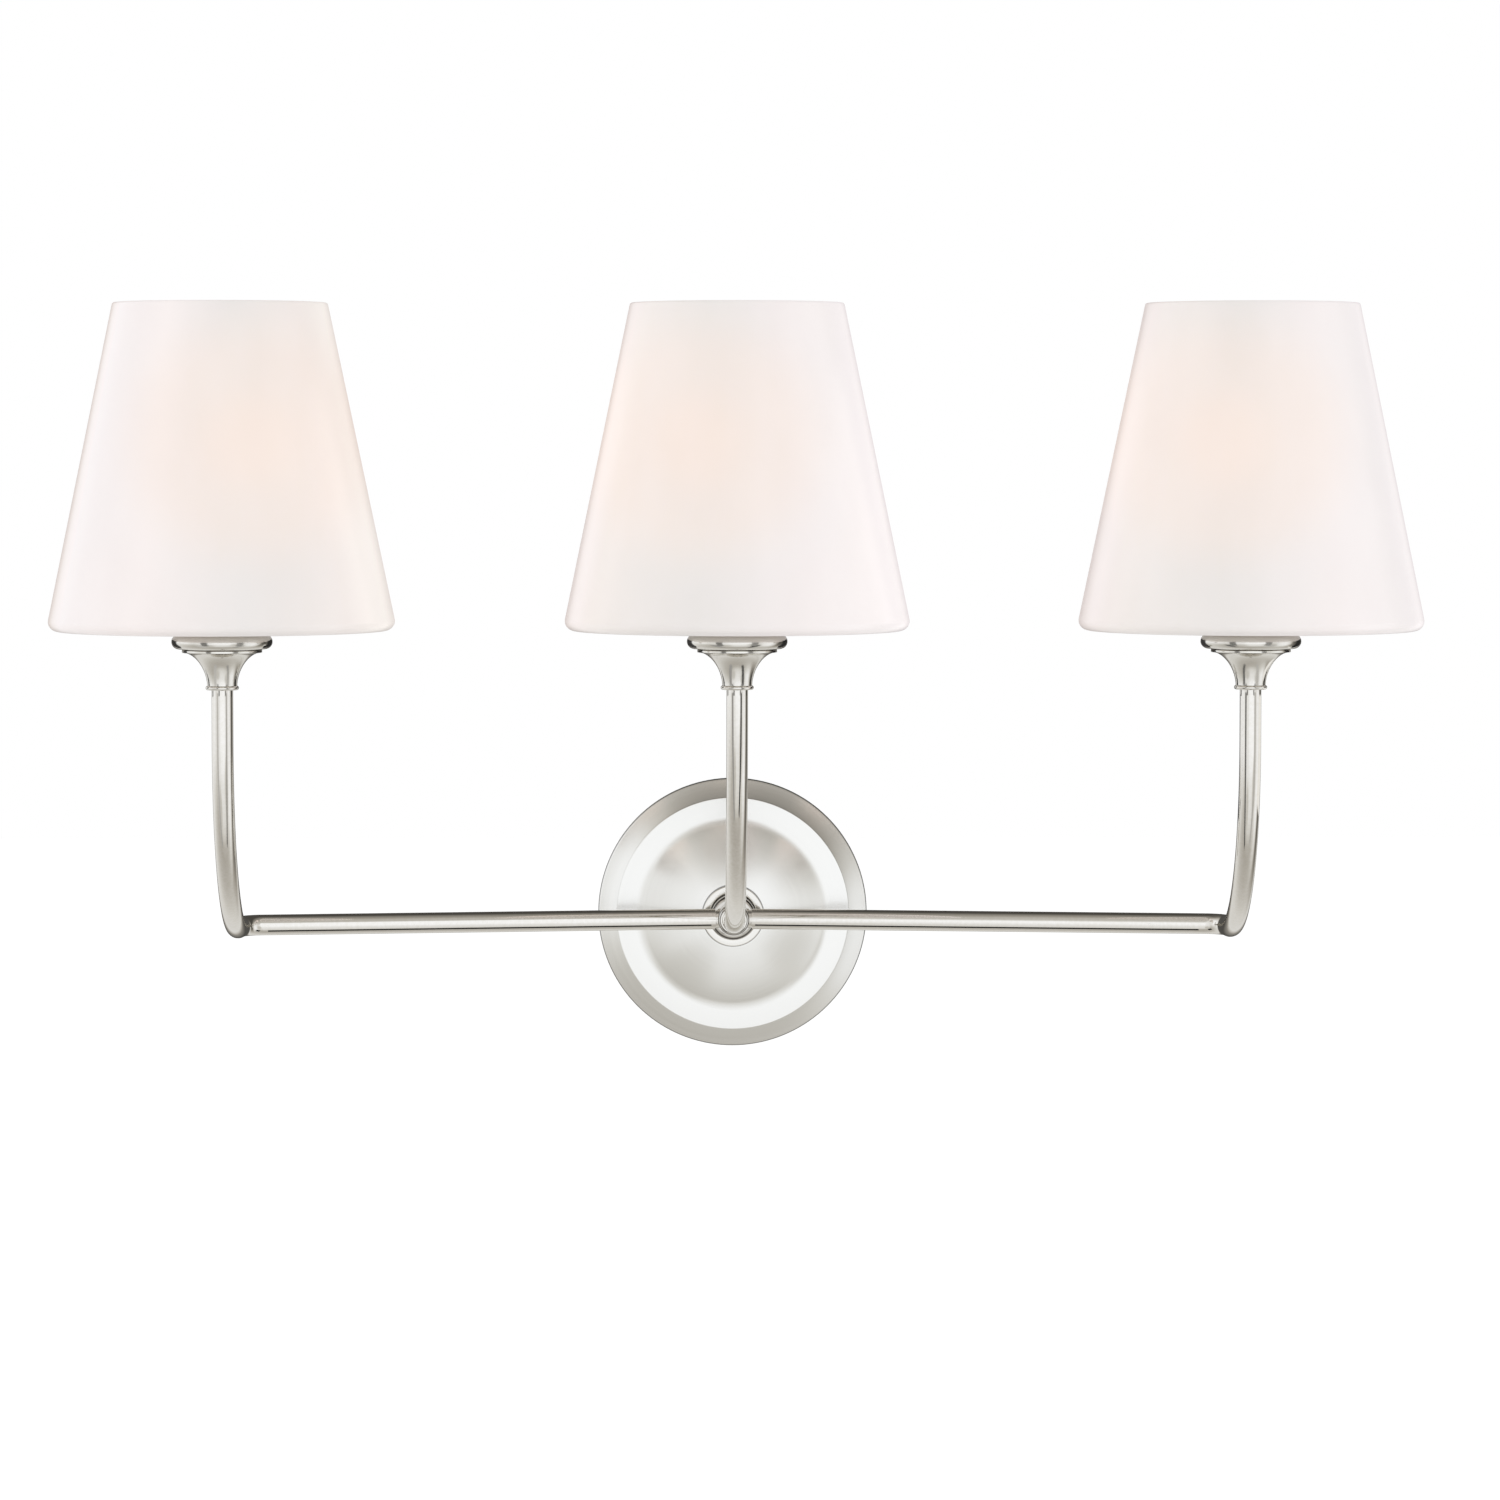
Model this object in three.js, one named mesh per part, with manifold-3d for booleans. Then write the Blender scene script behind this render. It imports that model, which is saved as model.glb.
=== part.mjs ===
// Vanity light bar with three opal glass shades.
//
// Millimetres. The wall is the plane y = 0, the room is towards -Y, +Z is up and +X is to the right of
// someone who faces the wall. The origin is on the wall at the centre of the round backplate.
//
// A steel crossbar is fixed to the outlet box. A threaded nipple joins it to a post, which comes out
// through the backplate, and a ring nut on the post clamps the backplate to the wall. The post carries a
// small hub, and three bent tubes plug onto it. Each tube ends in a flared cup, and a nipple clamps the
// cup, the seat disc and the lampholder together. The shade stands on the disc, held by a ring nut.

import * as THREE from 'three';
import { mergeVertices } from 'three/addons/utils/BufferGeometryUtils.js';
import Module from 'manifold-3d';

const wasm = await Module();
wasm.setup();

// ---- Driving dimensions -------------------------------------------------------------------------------

const LAMP_PITCH = 227;            // from one lamp's axis to the next
const HUB_OUT = 38;                // the hub's axis, off the wall

// Arms: drawn steel tube, bent cold
const TUBE_R = 4.75;
const TUBE_WALL = 1.0;
const SWEEP = THREE.MathUtils.degToRad(7.5);   // the side arms lean this far into the room
const PLAN_BEND_R = 11;            // the side arms' tight bend into the room, at the centre line
const RISE_BEND_R = 89;            // their wide bend from the room to straight up
const RISE_STRAIGHT = 24;          // straight tube between that bend and the cup
const MIDDLE_RUN = 18;             // the middle arm's straight run out of the hub

// Backplate: spun steel
const PLATE_R = 63.5;
const PLATE_WALL = 1.2;
const RIM_LAND = 3.4;              // flat return flange that lies on the wall
const RIM_EDGE = 1.2;              // upright edge at the wall
const BAND_WIDTH = 8.6;            // sloping outer band
const BAND_RISE = 7.0;
const BAND_CROWN = 0.8;            // how far the band bulges from a straight cone
const STEP_RISE = 1.3;             // crisp step from the band up to the flat ring
const RING_WIDTH = 11;             // flat ring
const RING_BLEND = 2;              // soft blend from the ring into the dome, to each side of the corner
const DOME_RISE = 11.5;            // from the flat ring to the seat of the ring nut
const SEAT_R = 13.6;               // flat seat in the middle of the dome

// Post, hub and what fastens them
const POST_R = 10.5;
const POST_BORE_R = 5;
const POST_SHOULDER = 2.4;         // rounded front shoulder
const NIPPLE_R = 4.7;              // 1/8 IP pipe thread
const NIPPLE_BORE_R = 3.3;
const NIPPLE_REACH = 1.3;          // how far the nipple screws into the post
const NUT_FLATS = 14.3;
const NUT_THICK = 3;
const RING_NUT_WIDTH = 3.4;        // the canopy ring nut's face, beyond the post
const RING_NUT_THICK = 2.4;
const EDGE_BREAK = 0.6;            // small chamfer on the turned rings
const HUB_R = 7.4;
const HUB_BACK = 5.1;              // from the hub's cross axis back to the post
const HUB_FRONT = 7;               // and forward to its front face
const HUB_BACK_ROUND = 1;
const HUB_FRONT_ROUND = 2;
const HUB_SPIGOT_R = 4.6;          // plugs into the post
const HUB_SPIGOT_REACH = 8;
const HUB_BORE_R = 3.7;
const NECK_R = 4.1;                // short necks between the hub and the side arms
const NECK_REACH = 8.6;            // from the hub's centre to a side arm's end
const PLUG_REACH = 6;              // how far a spigot plugs into a tube
const COLLAR_R = 6.1;              // slim ring at the foot of the middle arm
const COLLAR_LENGTH = 2;

// Crossbar: pressed steel strap
const BAR_WIDTH = 20;
const BAR_SHEET = 1.6;
const BAR_FLANGE = 4.5;            // turned-up long edges
const BOX_SCREWS_WIDE = 88.9;      // its slots take outlet boxes with screws this far apart
const BOX_SCREWS_NARROW = 69.85;   // down to this
const SLOT_R = 2.4;
const BAR_END = 3.95;              // metal beyond each slot
const GROUND_SCREW_AT = 24;        // from the centre, along the bar
const GROUND_SCREW_R = 2.4;
const GROUND_HEAD_R = 4.2;
const GROUND_HEAD = 2.2;

// Cup under each lamp: turned brass
const BEAD_R = 7.3;
const BEAD_HEIGHT = 1.9;
const CUP_NECK_R = 6.6;
const CUP_FLARE_HEIGHT = 14.6;
const CUP_FLARE_R = 17;
const FLARE_FULLNESS = 1.8;        // 2 would make the flare a quarter of an ellipse
const FLANGE_R = 17.6;
const FLANGE_HEIGHT = 1.3;
const CUP_SOCKET_DEPTH = 8.7;      // how far the tube goes up into the cup
const LAMP_NIPPLE_R = 3.3;
const LAMP_NIPPLE_BORE_R = 2.2;

// Seat disc with a bullnose edge
const DISC_R = 22.2;
const DISC_HEIGHT = 6.4;

// Lampholder for a medium screw base (E26)
const HOLDER_R = 16.2;
const HOLDER_BELOW_CAP = 0.8;      // its mouth, below the top of the bulb's cap
const HOLDER_FLOOR = 8;
const HOLDER_BLIND_BORE = 5.2;     // bore for the nipple in the holder's floor
const SHELL_WALL = 0.6;
const SHELL_BELOW_MOUTH = 1.5;
const SHELL_LIP = 6.4;             // hole in the shell's floor, round the contact
const CONTACT_R = 3.4;
const CONTACT_HEIGHT = 1.6;
const CONTACT_TAPER = 0.8;

// Shade ring nut
const SHADE_NUT_R = 22;
const SHADE_NUT_HEIGHT = 5;
const SHADE_NUT_LIP = 2;
const SHADE_NUT_WALL = 2.4;

// Bulb: A19 on an E26 cap
const CAP_R = 13;
const CAP_WALL = 0.8;
const CAP_THREAD_HEIGHT = 17;
const CAP_CONE_HEIGHT = 4.6;
const CAP_BUTTON_R = 4.6;
const CAP_EDGE = 1;                // chamfer under the threaded sleeve
const BULB_R = 30;
const BULB_LENGTH = 105;           // from the contact to the top of the glass
const BULB_WALL = 1;
const BULB_NECK_R = 11.8;
const BULB_NECK_IN_CAP = 8;
const BULB_SHOULDER_R = 15;        // just above the cap
const BULB_SHOULDER_RISE = 3;
const BULB_THROAT = 9;             // the throat leaves the shoulder straight up for about this far
const GLOBE_BELOW = 25;            // degrees under the globe's middle where the throat runs into it
const GLOBE_RUN_IN = 12;

// Shade: blown opal glass, open at the top
const SHADE_BOTTOM_R = 77.4;       // before its lower corner is rounded
const SHADE_TOP_R = 47.1;
const SHADE_HEIGHT = 145.5;
const SHADE_WALL = 3;
const SHADE_DISH = 1.4;            // its floor climbs this much from the flat seat to the corner
const SHADE_SEAT_MARGIN = 1.5;     // the flat seat's width beyond the ring nut and the seat disc
const SHADE_CORNER_R = 4.2;
const SHADE_INNER_CORNER_R = 1.2;

// Leads inside the tubes
const LEAD_R = 1.1;
const LEAD_SPREAD = 1.9;           // the three leads' distance from their common middle in the post
const LEAD_BEND_R = 5;
const LEAD_END = 1.5;              // from a lead's end to the lampholder's floor above it
const SPLICE_R = 4.5;
const SPLICE_WALL = 0.9;
const SPLICE_EDGE = 1;             // chamfer at its closed end
const SPLICE_LENGTH = 11;
const SPLICE_DROP = 16;            // from the post's axis down to the splice's mouth
const SPLICE_GRIP = 4;             // how far the leads go into it

// Clearances
const GAP = 0.3;                   // between faces that touch or seat
const FIT = 0.4;                   // round a piece in its hole
const CLEAR = 1;                   // how far a cutting shape runs past what it cuts

// Sides of the round pieces
const PLATE_SIDES = 32;
const SHADE_SIDES = 32;
const LAMP_SIDES = 16;             // cups, discs, lampholders, bulbs
const TUBE_SIDES = 12;
const POST_SIDES = 16;
const FINE = 12;
const CONTACT_SIDES = 8;
const LEAD_SIDES = 6;

// ---- Derived places -----------------------------------------------------------------------------------

const TUBE_BORE_R = TUBE_R - TUBE_WALL;
const sweptX = LAMP_PITCH - PLAN_BEND_R * (1 - Math.sin(SWEEP));
const sweptOut = sweptX * Math.tan(SWEEP);
const LAMP_OUT = HUB_OUT + sweptOut + PLAN_BEND_R * Math.cos(SWEEP) + RISE_BEND_R;
const MIDDLE_BEND_R = LAMP_OUT - HUB_OUT - MIDDLE_RUN;
const CUP_FOOT = RISE_BEND_R + RISE_STRAIGHT;

const BAR_LENGTH = BOX_SCREWS_WIDE + 2 * (SLOT_R + BAR_END);

const RING_LEVEL = RIM_EDGE + BAND_RISE + STEP_RISE;
const SEAT_LEVEL = RING_LEVEL + DOME_RISE;
const POST_FRONT = HUB_OUT - HUB_BACK - GAP;
const NUT_BACK = BAR_SHEET + GAP;
const POST_BACK = NUT_BACK + NUT_THICK + GAP;

const DISC_FOOT = BEAD_HEIGHT + CUP_FLARE_HEIGHT + FLANGE_HEIGHT + GAP;
const HOLDER_FOOT = DISC_FOOT + DISC_HEIGHT + GAP;
const HOLDER_CAVITY_R = CAP_R + FIT + SHELL_WALL + FIT;
const SHELL_FOOT = HOLDER_FOOT + HOLDER_FLOOR + GAP;
const CONTACT_TOP = SHELL_FOOT + CONTACT_HEIGHT;
const BULB_FOOT = CONTACT_TOP + GAP;
const CAP_TOP = BULB_FOOT + CAP_CONE_HEIGHT + CAP_THREAD_HEIGHT;
const SHADE_NUT_FOOT = HOLDER_FOOT + SHADE_WALL + GAP;
const HOLDER_TOP = CAP_TOP - HOLDER_BELOW_CAP;

// ---- Finishes -----------------------------------------------------------------------------------------

function finish(color, roughness, metalness) {
  return new THREE.MeshStandardMaterial({ color, roughness, metalness });
}
const nickel = () => finish(0xc8c3b8, 0.32, 1);
const opal = () => finish(0xf7f3f0, 0.25, 0);
const frostedGlass = () => finish(0xf4efe4, 0.5, 0);
const brass = () => finish(0xb99a5b, 0.35, 1);
const zinc = () => finish(0xa9abad, 0.45, 1);
const phenolic = () => finish(0xe9e4d8, 0.45, 0);
const leadSleeve = () => finish(0xdedad2, 0.6, 0);
const greenZinc = () => finish(0x3f7d4c, 0.45, 0.8);

// ---- Ways of making a solid ---------------------------------------------------------------------------

const at = (r, h) => new THREE.Vector2(r, h);

// Points on a circular arc of an outline, from one angle to another in degrees.
function arc(r, h, radius, from, to, steps) {
  const curve = new THREE.EllipseCurve(r, h, radius, radius,
    THREE.MathUtils.degToRad(from), THREE.MathUtils.degToRad(to), to < from);
  return curve.getPoints(steps);
}

// Points on the arc between two points of an outline that bulges by crown to the right of a to b.
function crowned(a, b, crown, steps) {
  const half = a.distanceTo(b) / 2;
  const radius = (half * half + crown * crown) / (2 * crown);
  const along = b.clone().sub(a).normalize();
  const centre = a.clone().add(b).multiplyScalar(0.5)
    .add(at(-along.y, along.x).multiplyScalar(radius - crown));
  const from = THREE.MathUtils.radToDeg(Math.atan2(a.y - centre.y, a.x - centre.x));
  const to = THREE.MathUtils.radToDeg(Math.atan2(b.y - centre.y, b.x - centre.x));
  return arc(centre.x, centre.y, radius, from, to, steps);
}

// A closed outline of (radius, height) turned about the Y axis.
function turned(outline, sides) {
  const clean = outline.filter((p, i) => i === 0 || p.distanceTo(outline[i - 1]) > 1e-3);
  const start = clean[0];
  const end = clean[clean.length - 1];
  const onAxis = start.x < 1e-6 && end.x < 1e-6;
  if (!onAxis && start.distanceTo(end) > 1e-6) clean.push(start.clone());
  return new THREE.LatheGeometry(clean, sides);
}

// The same, standing up along Z, or pointing from the wall into the room.
const standing = (outline, sides) => turned(outline, sides).rotateX(Math.PI / 2);
const intoRoom = (outline, sides) => turned(outline, sides).rotateX(Math.PI);

// A plain tube or ring outline between two heights.
function ringOutline(inner, outer, low, high) {
  return [at(inner, low), at(outer, low), at(outer, high), at(inner, high)];
}

// The same with a small chamfer round its upper outer edge.
function brokenRing(inner, outer, low, high) {
  return [at(inner, low), at(outer, low), at(outer, high - EDGE_BREAK), at(outer - EDGE_BREAK, high),
    at(inner, high)];
}

function asManifold(geometry) {
  const bare = geometry.clone();
  bare.deleteAttribute('normal');
  bare.deleteAttribute('uv');
  const merged = mergeVertices(bare, 1e-4);
  const mesh = new wasm.Mesh({
    numProp: 3,
    vertProperties: new Float32Array(merged.attributes.position.array),
    triVerts: new Uint32Array(merged.index.array),
  });
  return new wasm.Manifold(mesh);
}

function asGeometry(manifold) {
  const mesh = manifold.getMesh();
  const geometry = new THREE.BufferGeometry();
  geometry.setAttribute('position', new THREE.BufferAttribute(mesh.vertProperties, 3));
  geometry.setIndex(new THREE.BufferAttribute(mesh.triVerts, 1));
  geometry.computeVertexNormals();
  return geometry;
}

// One solid from a first geometry, with others joined on and others cut away.
function fused(base, joined, cut) {
  let solid = asManifold(base);
  for (const piece of joined) solid = solid.add(asManifold(piece));
  for (const piece of cut) solid = solid.subtract(asManifold(piece));
  return asGeometry(solid);
}

function piece(name, geometry, material) {
  const mesh = new THREE.Mesh(geometry, material);
  mesh.name = name;
  return mesh;
}

// ---- Curves for the tubes -----------------------------------------------------------------------------

// A centre line made of straight runs and circular bends. Its parameter counts the steps of the runs, so
// a straight run takes one step and a bend as many as it needs.
class BentLine extends THREE.Curve {
  constructor(start, heading) {
    super();
    this.runs = [];
    this.steps = 0;
    this.tip = start.clone();
    this.heading = heading.clone().normalize();
  }

  straight(length) {
    const from = this.tip.clone();
    const along = this.heading.clone();
    this.runs.push({ steps: 1, point: (s) => from.clone().addScaledVector(along, length * s) });
    this.steps += 1;
    this.tip.addScaledVector(along, length);
    return this;
  }

  // Turn towards a direction square to the present heading.
  bend(towards, radius, angle, steps) {
    const from = this.tip.clone();
    const along = this.heading.clone();
    const side = towards.clone().addScaledVector(along, -towards.dot(along)).normalize();
    const point = (s) => from.clone()
      .addScaledVector(along, radius * Math.sin(angle * s))
      .addScaledVector(side, radius * (1 - Math.cos(angle * s)));
    this.runs.push({ steps, point });
    this.steps += steps;
    this.tip = point(1);
    this.heading = along.clone().multiplyScalar(Math.cos(angle)).addScaledVector(side, Math.sin(angle));
    return this;
  }

  getPoint(t, target = new THREE.Vector3()) {
    let count = t * this.steps;
    for (const run of this.runs) {
      if (count <= run.steps || run === this.runs[this.runs.length - 1]) {
        return target.copy(run.point(count / run.steps));
      }
      count -= run.steps;
    }
    return target;
  }

  getUtoTmapping(u) {
    return u;
  }
}

// A round section, solid or with a bore, for sweeping along a curve.
function roundSection(radius, boreRadius) {
  const section = new THREE.Shape();
  section.absarc(0, 0, radius, 0, 2 * Math.PI, false);
  if (boreRadius) {
    const bore = new THREE.Path();
    bore.absarc(0, 0, boreRadius, 0, 2 * Math.PI, true);
    section.holes.push(bore);
  }
  return section;
}

function sweptTube(curve, steps, radius, boreRadius, sides) {
  return new THREE.ExtrudeGeometry(roundSection(radius, boreRadius), {
    steps,
    curveSegments: sides / 2,
    bevelEnabled: false,
    extrudePath: curve,
  });
}

const UP = new THREE.Vector3(0, 0, 1);
const ROOM = new THREE.Vector3(0, -1, 0);

// Direction in which a side arm leaves the hub: side is -1 for the left one and 1 for the right one.
function sweptHeading(side) {
  return new THREE.Vector3(side * Math.cos(SWEEP), -Math.sin(SWEEP), 0);
}

// Centre line of an arm, from its end at the hub to its top end in the cup.
function armLine(side) {
  const hub = new THREE.Vector3(0, -HUB_OUT, 0);
  const top = RISE_STRAIGHT + CUP_SOCKET_DEPTH;
  if (side === 0) {
    const begin = HUB_FRONT + GAP;
    const start = hub.clone().addScaledVector(ROOM, begin);
    return new BentLine(start, ROOM)
      .straight(MIDDLE_RUN - begin)
      .bend(UP, MIDDLE_BEND_R, Math.PI / 2, 8)
      .straight(CUP_FOOT + CUP_SOCKET_DEPTH - MIDDLE_BEND_R);
  }
  const heading = sweptHeading(side);
  const begin = NECK_REACH + GAP;
  return new BentLine(hub.clone().addScaledVector(heading, begin), heading)
    .straight(sweptX / Math.cos(SWEEP) - begin)
    .bend(ROOM, PLAN_BEND_R, Math.PI / 2 - SWEEP, 3)
    .bend(UP, RISE_BEND_R, Math.PI / 2, 8)
    .straight(top);
}

// ---- Wall side ----------------------------------------------------------------------------------------

// Spun backplate: return flange, upright edge, sloping band, step, flat ring, and a dome with a flat seat.
function backplate() {
  const bandR = PLATE_R - BAND_WIDTH;
  const ringInnerR = bandR - RING_WIDTH;
  const domeR = domeRadius(ringInnerR);
  const domeCentre = SEAT_LEVEL - Math.sqrt(domeR * domeR - SEAT_R * SEAT_R);
  const onDome = (r) => THREE.MathUtils.radToDeg(Math.acos(r / domeR));
  const blendIn = ringInnerR - RING_BLEND;
  const blendEnd = at(blendIn, domeCentre + Math.sqrt(domeR * domeR - blendIn * blendIn));
  const blend = new THREE.QuadraticBezierCurve(at(ringInnerR + RING_BLEND, RING_LEVEL),
    at(ringInnerR, RING_LEVEL), blendEnd);
  const holeR = POST_R + FIT;
  const w = PLATE_WALL;
  const outer = [
    at(PLATE_R - RIM_LAND, 0),
    at(PLATE_R, 0),
    ...crowned(at(PLATE_R, RIM_EDGE), at(bandR, RIM_EDGE + BAND_RISE), BAND_CROWN, 3),
    at(bandR, RING_LEVEL),
    ...blend.getPoints(2),
    ...arc(0, domeCentre, domeR, onDome(blendIn), onDome(SEAT_R), 4),
    at(holeR, SEAT_LEVEL),
  ];
  const inner = [
    at(holeR, SEAT_LEVEL - w),
    at(SEAT_R, SEAT_LEVEL - w),
    ...arc(0, domeCentre, domeR - w, onDome(SEAT_R), onDome(blendIn), 2),
    at(ringInnerR + RING_BLEND, RING_LEVEL - w),
    at(bandR - w, RING_LEVEL - w),
    at(bandR - w, RING_LEVEL - STEP_RISE - w),
    at(PLATE_R - 2 * w, RIM_EDGE + w),
    at(PLATE_R - 2 * w, w),
    at(PLATE_R - RIM_LAND, w),
  ];
  return piece('backplate', intoRoom([...outer, ...inner], PLATE_SIDES), nickel());
}

// Radius of the sphere that rises by DOME_RISE between the flat ring's inner edge and the seat.
function domeRadius(ringInnerR) {
  const run = ringInnerR * ringInnerR - SEAT_R * SEAT_R;
  const k = (run - DOME_RISE * DOME_RISE) / (2 * DOME_RISE);
  return Math.sqrt(k * k + ringInnerR * ringInnerR);
}

// A round hole in a flat outline.
function roundHole(x, r) {
  return new THREE.Path().absarc(x, 0, r, 0, 2 * Math.PI, false);
}

// A slot with round ends, its two centres at x = from and x = to.
function slot(from, to, r) {
  return new THREE.Path()
    .absarc(to, 0, r, -Math.PI / 2, Math.PI / 2, false)
    .absarc(from, 0, r, Math.PI / 2, 1.5 * Math.PI, false);
}

// Pressed strap with turned-up long edges, a hole for the nipple, two slots and a ground screw's hole.
function crossbar() {
  const halfL = BAR_LENGTH / 2;
  const halfW = BAR_WIDTH / 2;
  const near = BOX_SCREWS_NARROW / 2;
  const far = BOX_SCREWS_WIDE / 2;
  const sheet = new THREE.Shape([at(-halfL, -halfW), at(halfL, -halfW), at(halfL, halfW), at(-halfL, halfW)]);
  sheet.holes.push(roundHole(0, NIPPLE_R + FIT), roundHole(GROUND_SCREW_AT, GROUND_SCREW_R + FIT),
    slot(-far, -near, SLOT_R), slot(near, far, SLOT_R));
  const web = new THREE.ExtrudeGeometry(sheet, { depth: BAR_SHEET, curveSegments: 6, bevelEnabled: false });
  const flange = (side) => new THREE.BoxGeometry(BAR_LENGTH, BAR_SHEET, BAR_FLANGE)
    .translate(0, side * (halfW - BAR_SHEET / 2), BAR_FLANGE / 2);
  const strap = fused(web, [flange(-1), flange(1)], []);
  return piece('crossbar', strap.rotateX(Math.PI / 2), zinc());
}

function groundScrew() {
  const underHead = BAR_SHEET + GAP;
  const outline = [
    at(0, GAP),
    at(GROUND_SCREW_R, GAP),
    at(GROUND_SCREW_R, underHead),
    at(GROUND_HEAD_R, underHead),
    at(GROUND_HEAD_R, underHead + GROUND_HEAD),
    at(0, underHead + GROUND_HEAD),
  ];
  const screw = piece('ground_screw', intoRoom(outline, 6), greenZinc());
  screw.position.set(GROUND_SCREW_AT, 0, 0);
  return screw;
}

function nipple() {
  const outline = ringOutline(NIPPLE_BORE_R, NIPPLE_R, GAP, POST_BACK + NIPPLE_REACH);
  return piece('nipple', intoRoom(outline, FINE), brass());
}

function locknut() {
  const cornerR = NUT_FLATS / Math.sqrt(3);
  const hex = new THREE.CylinderGeometry(cornerR, cornerR, NUT_THICK, 6).rotateY(Math.PI / 6);
  const bore = new THREE.CylinderGeometry(NIPPLE_R + FIT, NIPPLE_R + FIT, NUT_THICK + 2 * CLEAR, FINE);
  const nut = piece('locknut', fused(hex, [], [bore]), zinc());
  nut.position.set(0, -(NUT_BACK + NUT_THICK / 2), 0);
  return nut;
}

// Turned post with a rounded front shoulder and a port on its underside, where the leads come out.
function post() {
  const outline = [
    at(POST_BORE_R, POST_BACK),
    at(POST_R, POST_BACK),
    ...arc(POST_R - POST_SHOULDER, POST_FRONT - POST_SHOULDER, POST_SHOULDER, 0, 90, 4),
    at(POST_BORE_R, POST_FRONT),
  ];
  const port = portPlace();
  const window = new THREE.BoxGeometry(port.width, port.high - port.low, 2 * POST_R)
    .translate(0, -(port.high + port.low) / 2, -POST_R);
  return piece('post', fused(intoRoom(outline, POST_SIDES), [], [window]), nickel());
}

// The leads run down the pan at this distance off the wall, and leave the post through a port round them.
const TRUNK_OUT = POST_BACK + NIPPLE_REACH + LEAD_SPREAD + LEAD_R + FIT + CLEAR;

function portPlace() {
  const reach = LEAD_SPREAD + LEAD_R + FIT;
  return { low: TRUNK_OUT - reach, high: TRUNK_OUT + reach, width: 2 * reach };
}

// Slim ring nut on the post that clamps the backplate.
function canopyRing() {
  const inner = POST_R + FIT;
  const outer = POST_R + RING_NUT_WIDTH + FIT;
  const low = SEAT_LEVEL + GAP;
  const high = low + RING_NUT_THICK;
  return piece('canopy_ring', intoRoom(brokenRing(inner, outer, low, high), POST_SIDES), nickel());
}

// ---- Hub ----------------------------------------------------------------------------------------------

// Cast hub: a rounded barrel on a spigot, with a neck and a spigot for each side arm and one in front. A
// bore runs through it from the post, and branches into each spigot.
function hub() {
  const back = HUB_OUT - HUB_BACK;
  const front = HUB_OUT + HUB_FRONT;
  const plugR = TUBE_BORE_R - FIT;
  const wayR = LAMP_NIPPLE_BORE_R;
  const backRound = HUB_BACK_ROUND;
  const frontRound = HUB_FRONT_ROUND;
  const barrel = [
    at(0, back - HUB_SPIGOT_REACH),
    at(HUB_SPIGOT_R, back - HUB_SPIGOT_REACH),
    at(HUB_SPIGOT_R, back),
    ...arc(HUB_R - backRound, back + backRound, backRound, -90, 0, 1),
    ...arc(HUB_R - frontRound, front - frontRound, frontRound, 0, 90, 3),
    at(plugR, front),
    at(plugR, front + PLUG_REACH),
    at(0, front + PLUG_REACH),
  ];
  const bore = [
    at(0, back - HUB_SPIGOT_REACH - CLEAR),
    at(HUB_BORE_R, back - HUB_SPIGOT_REACH - CLEAR),
    at(HUB_BORE_R, HUB_OUT + HUB_BORE_R),
    at(wayR, HUB_OUT + 2 * HUB_BORE_R - wayR),
    at(wayR, front + PLUG_REACH + CLEAR),
    at(0, front + PLUG_REACH + CLEAR),
  ];
  const joined = [];
  const cut = [intoRoom(bore, FINE)];
  for (const side of [-1, 1]) {
    joined.push(hubBranch(side, NECK_R, NECK_REACH), hubBranch(side, plugR, NECK_REACH + PLUG_REACH));
    cut.push(hubBranch(side, wayR, NECK_REACH + PLUG_REACH + CLEAR));
  }
  return piece('hub', fused(intoRoom(barrel, POST_SIDES), joined, cut), nickel());
}

// A round bar from the hub's centre towards a side arm.
function hubBranch(side, radius, reach) {
  const turn = new THREE.Quaternion().setFromUnitVectors(new THREE.Vector3(0, 1, 0), sweptHeading(side));
  return new THREE.CylinderGeometry(radius, radius, reach, FINE)
    .translate(0, reach / 2, 0)
    .applyQuaternion(turn)
    .translate(0, -HUB_OUT, 0);
}

// Slim collar round the foot of the middle arm.
function collar() {
  const low = HUB_OUT + HUB_FRONT + GAP;
  const outline = brokenRing(TUBE_R + FIT, COLLAR_R, low, low + COLLAR_LENGTH);
  return piece('middle_collar', intoRoom(outline, LAMP_SIDES), nickel());
}

function arm(name, side) {
  const line = armLine(side);
  return piece(name, sweptTube(line, line.steps, TUBE_R, TUBE_BORE_R, TUBE_SIDES), nickel());
}

// ---- Lamp ---------------------------------------------------------------------------------------------
// Heights in a lamp count from the foot of its cup.

// Flared cup: bead, waist, flare in one sweep, and a thin flange; the tube goes up into its socket.
function cup() {
  const flareTop = BEAD_HEIGHT + CUP_FLARE_HEIGHT;
  const top = flareTop + FLANGE_HEIGHT;
  const beadHalf = BEAD_HEIGHT / 2;
  const socketR = TUBE_R + FIT;
  const socketTop = CUP_SOCKET_DEPTH + GAP;
  const nippleR = LAMP_NIPPLE_R + FIT;
  return standing([
    at(socketR, 0),
    ...arc(BEAD_R - beadHalf, beadHalf, beadHalf, -90, 90, 3),
    ...flare(CUP_NECK_R, CUP_FLARE_R, BEAD_HEIGHT, flareTop, 5),
    at(FLANGE_R, flareTop),
    at(FLANGE_R, top),
    at(nippleR, top),
    at(nippleR, socketTop),
    at(socketR, socketTop),
  ], LAMP_SIDES);
}

// A flare that leaves the neck straight up and opens out until it lies flat: a quarter of a superellipse.
function flare(neckR, mouthR, low, high, steps) {
  const points = [];
  for (let i = 0; i <= steps; i += 1) {
    const turn = (i / steps) * (Math.PI / 2);
    const inwards = Math.cos(turn) ** (2 / FLARE_FULLNESS);
    const upwards = Math.sin(turn) ** (2 / FLARE_FULLNESS);
    points.push(at(mouthR - (mouthR - neckR) * inwards, low + (high - low) * upwards));
  }
  return points;
}

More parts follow.
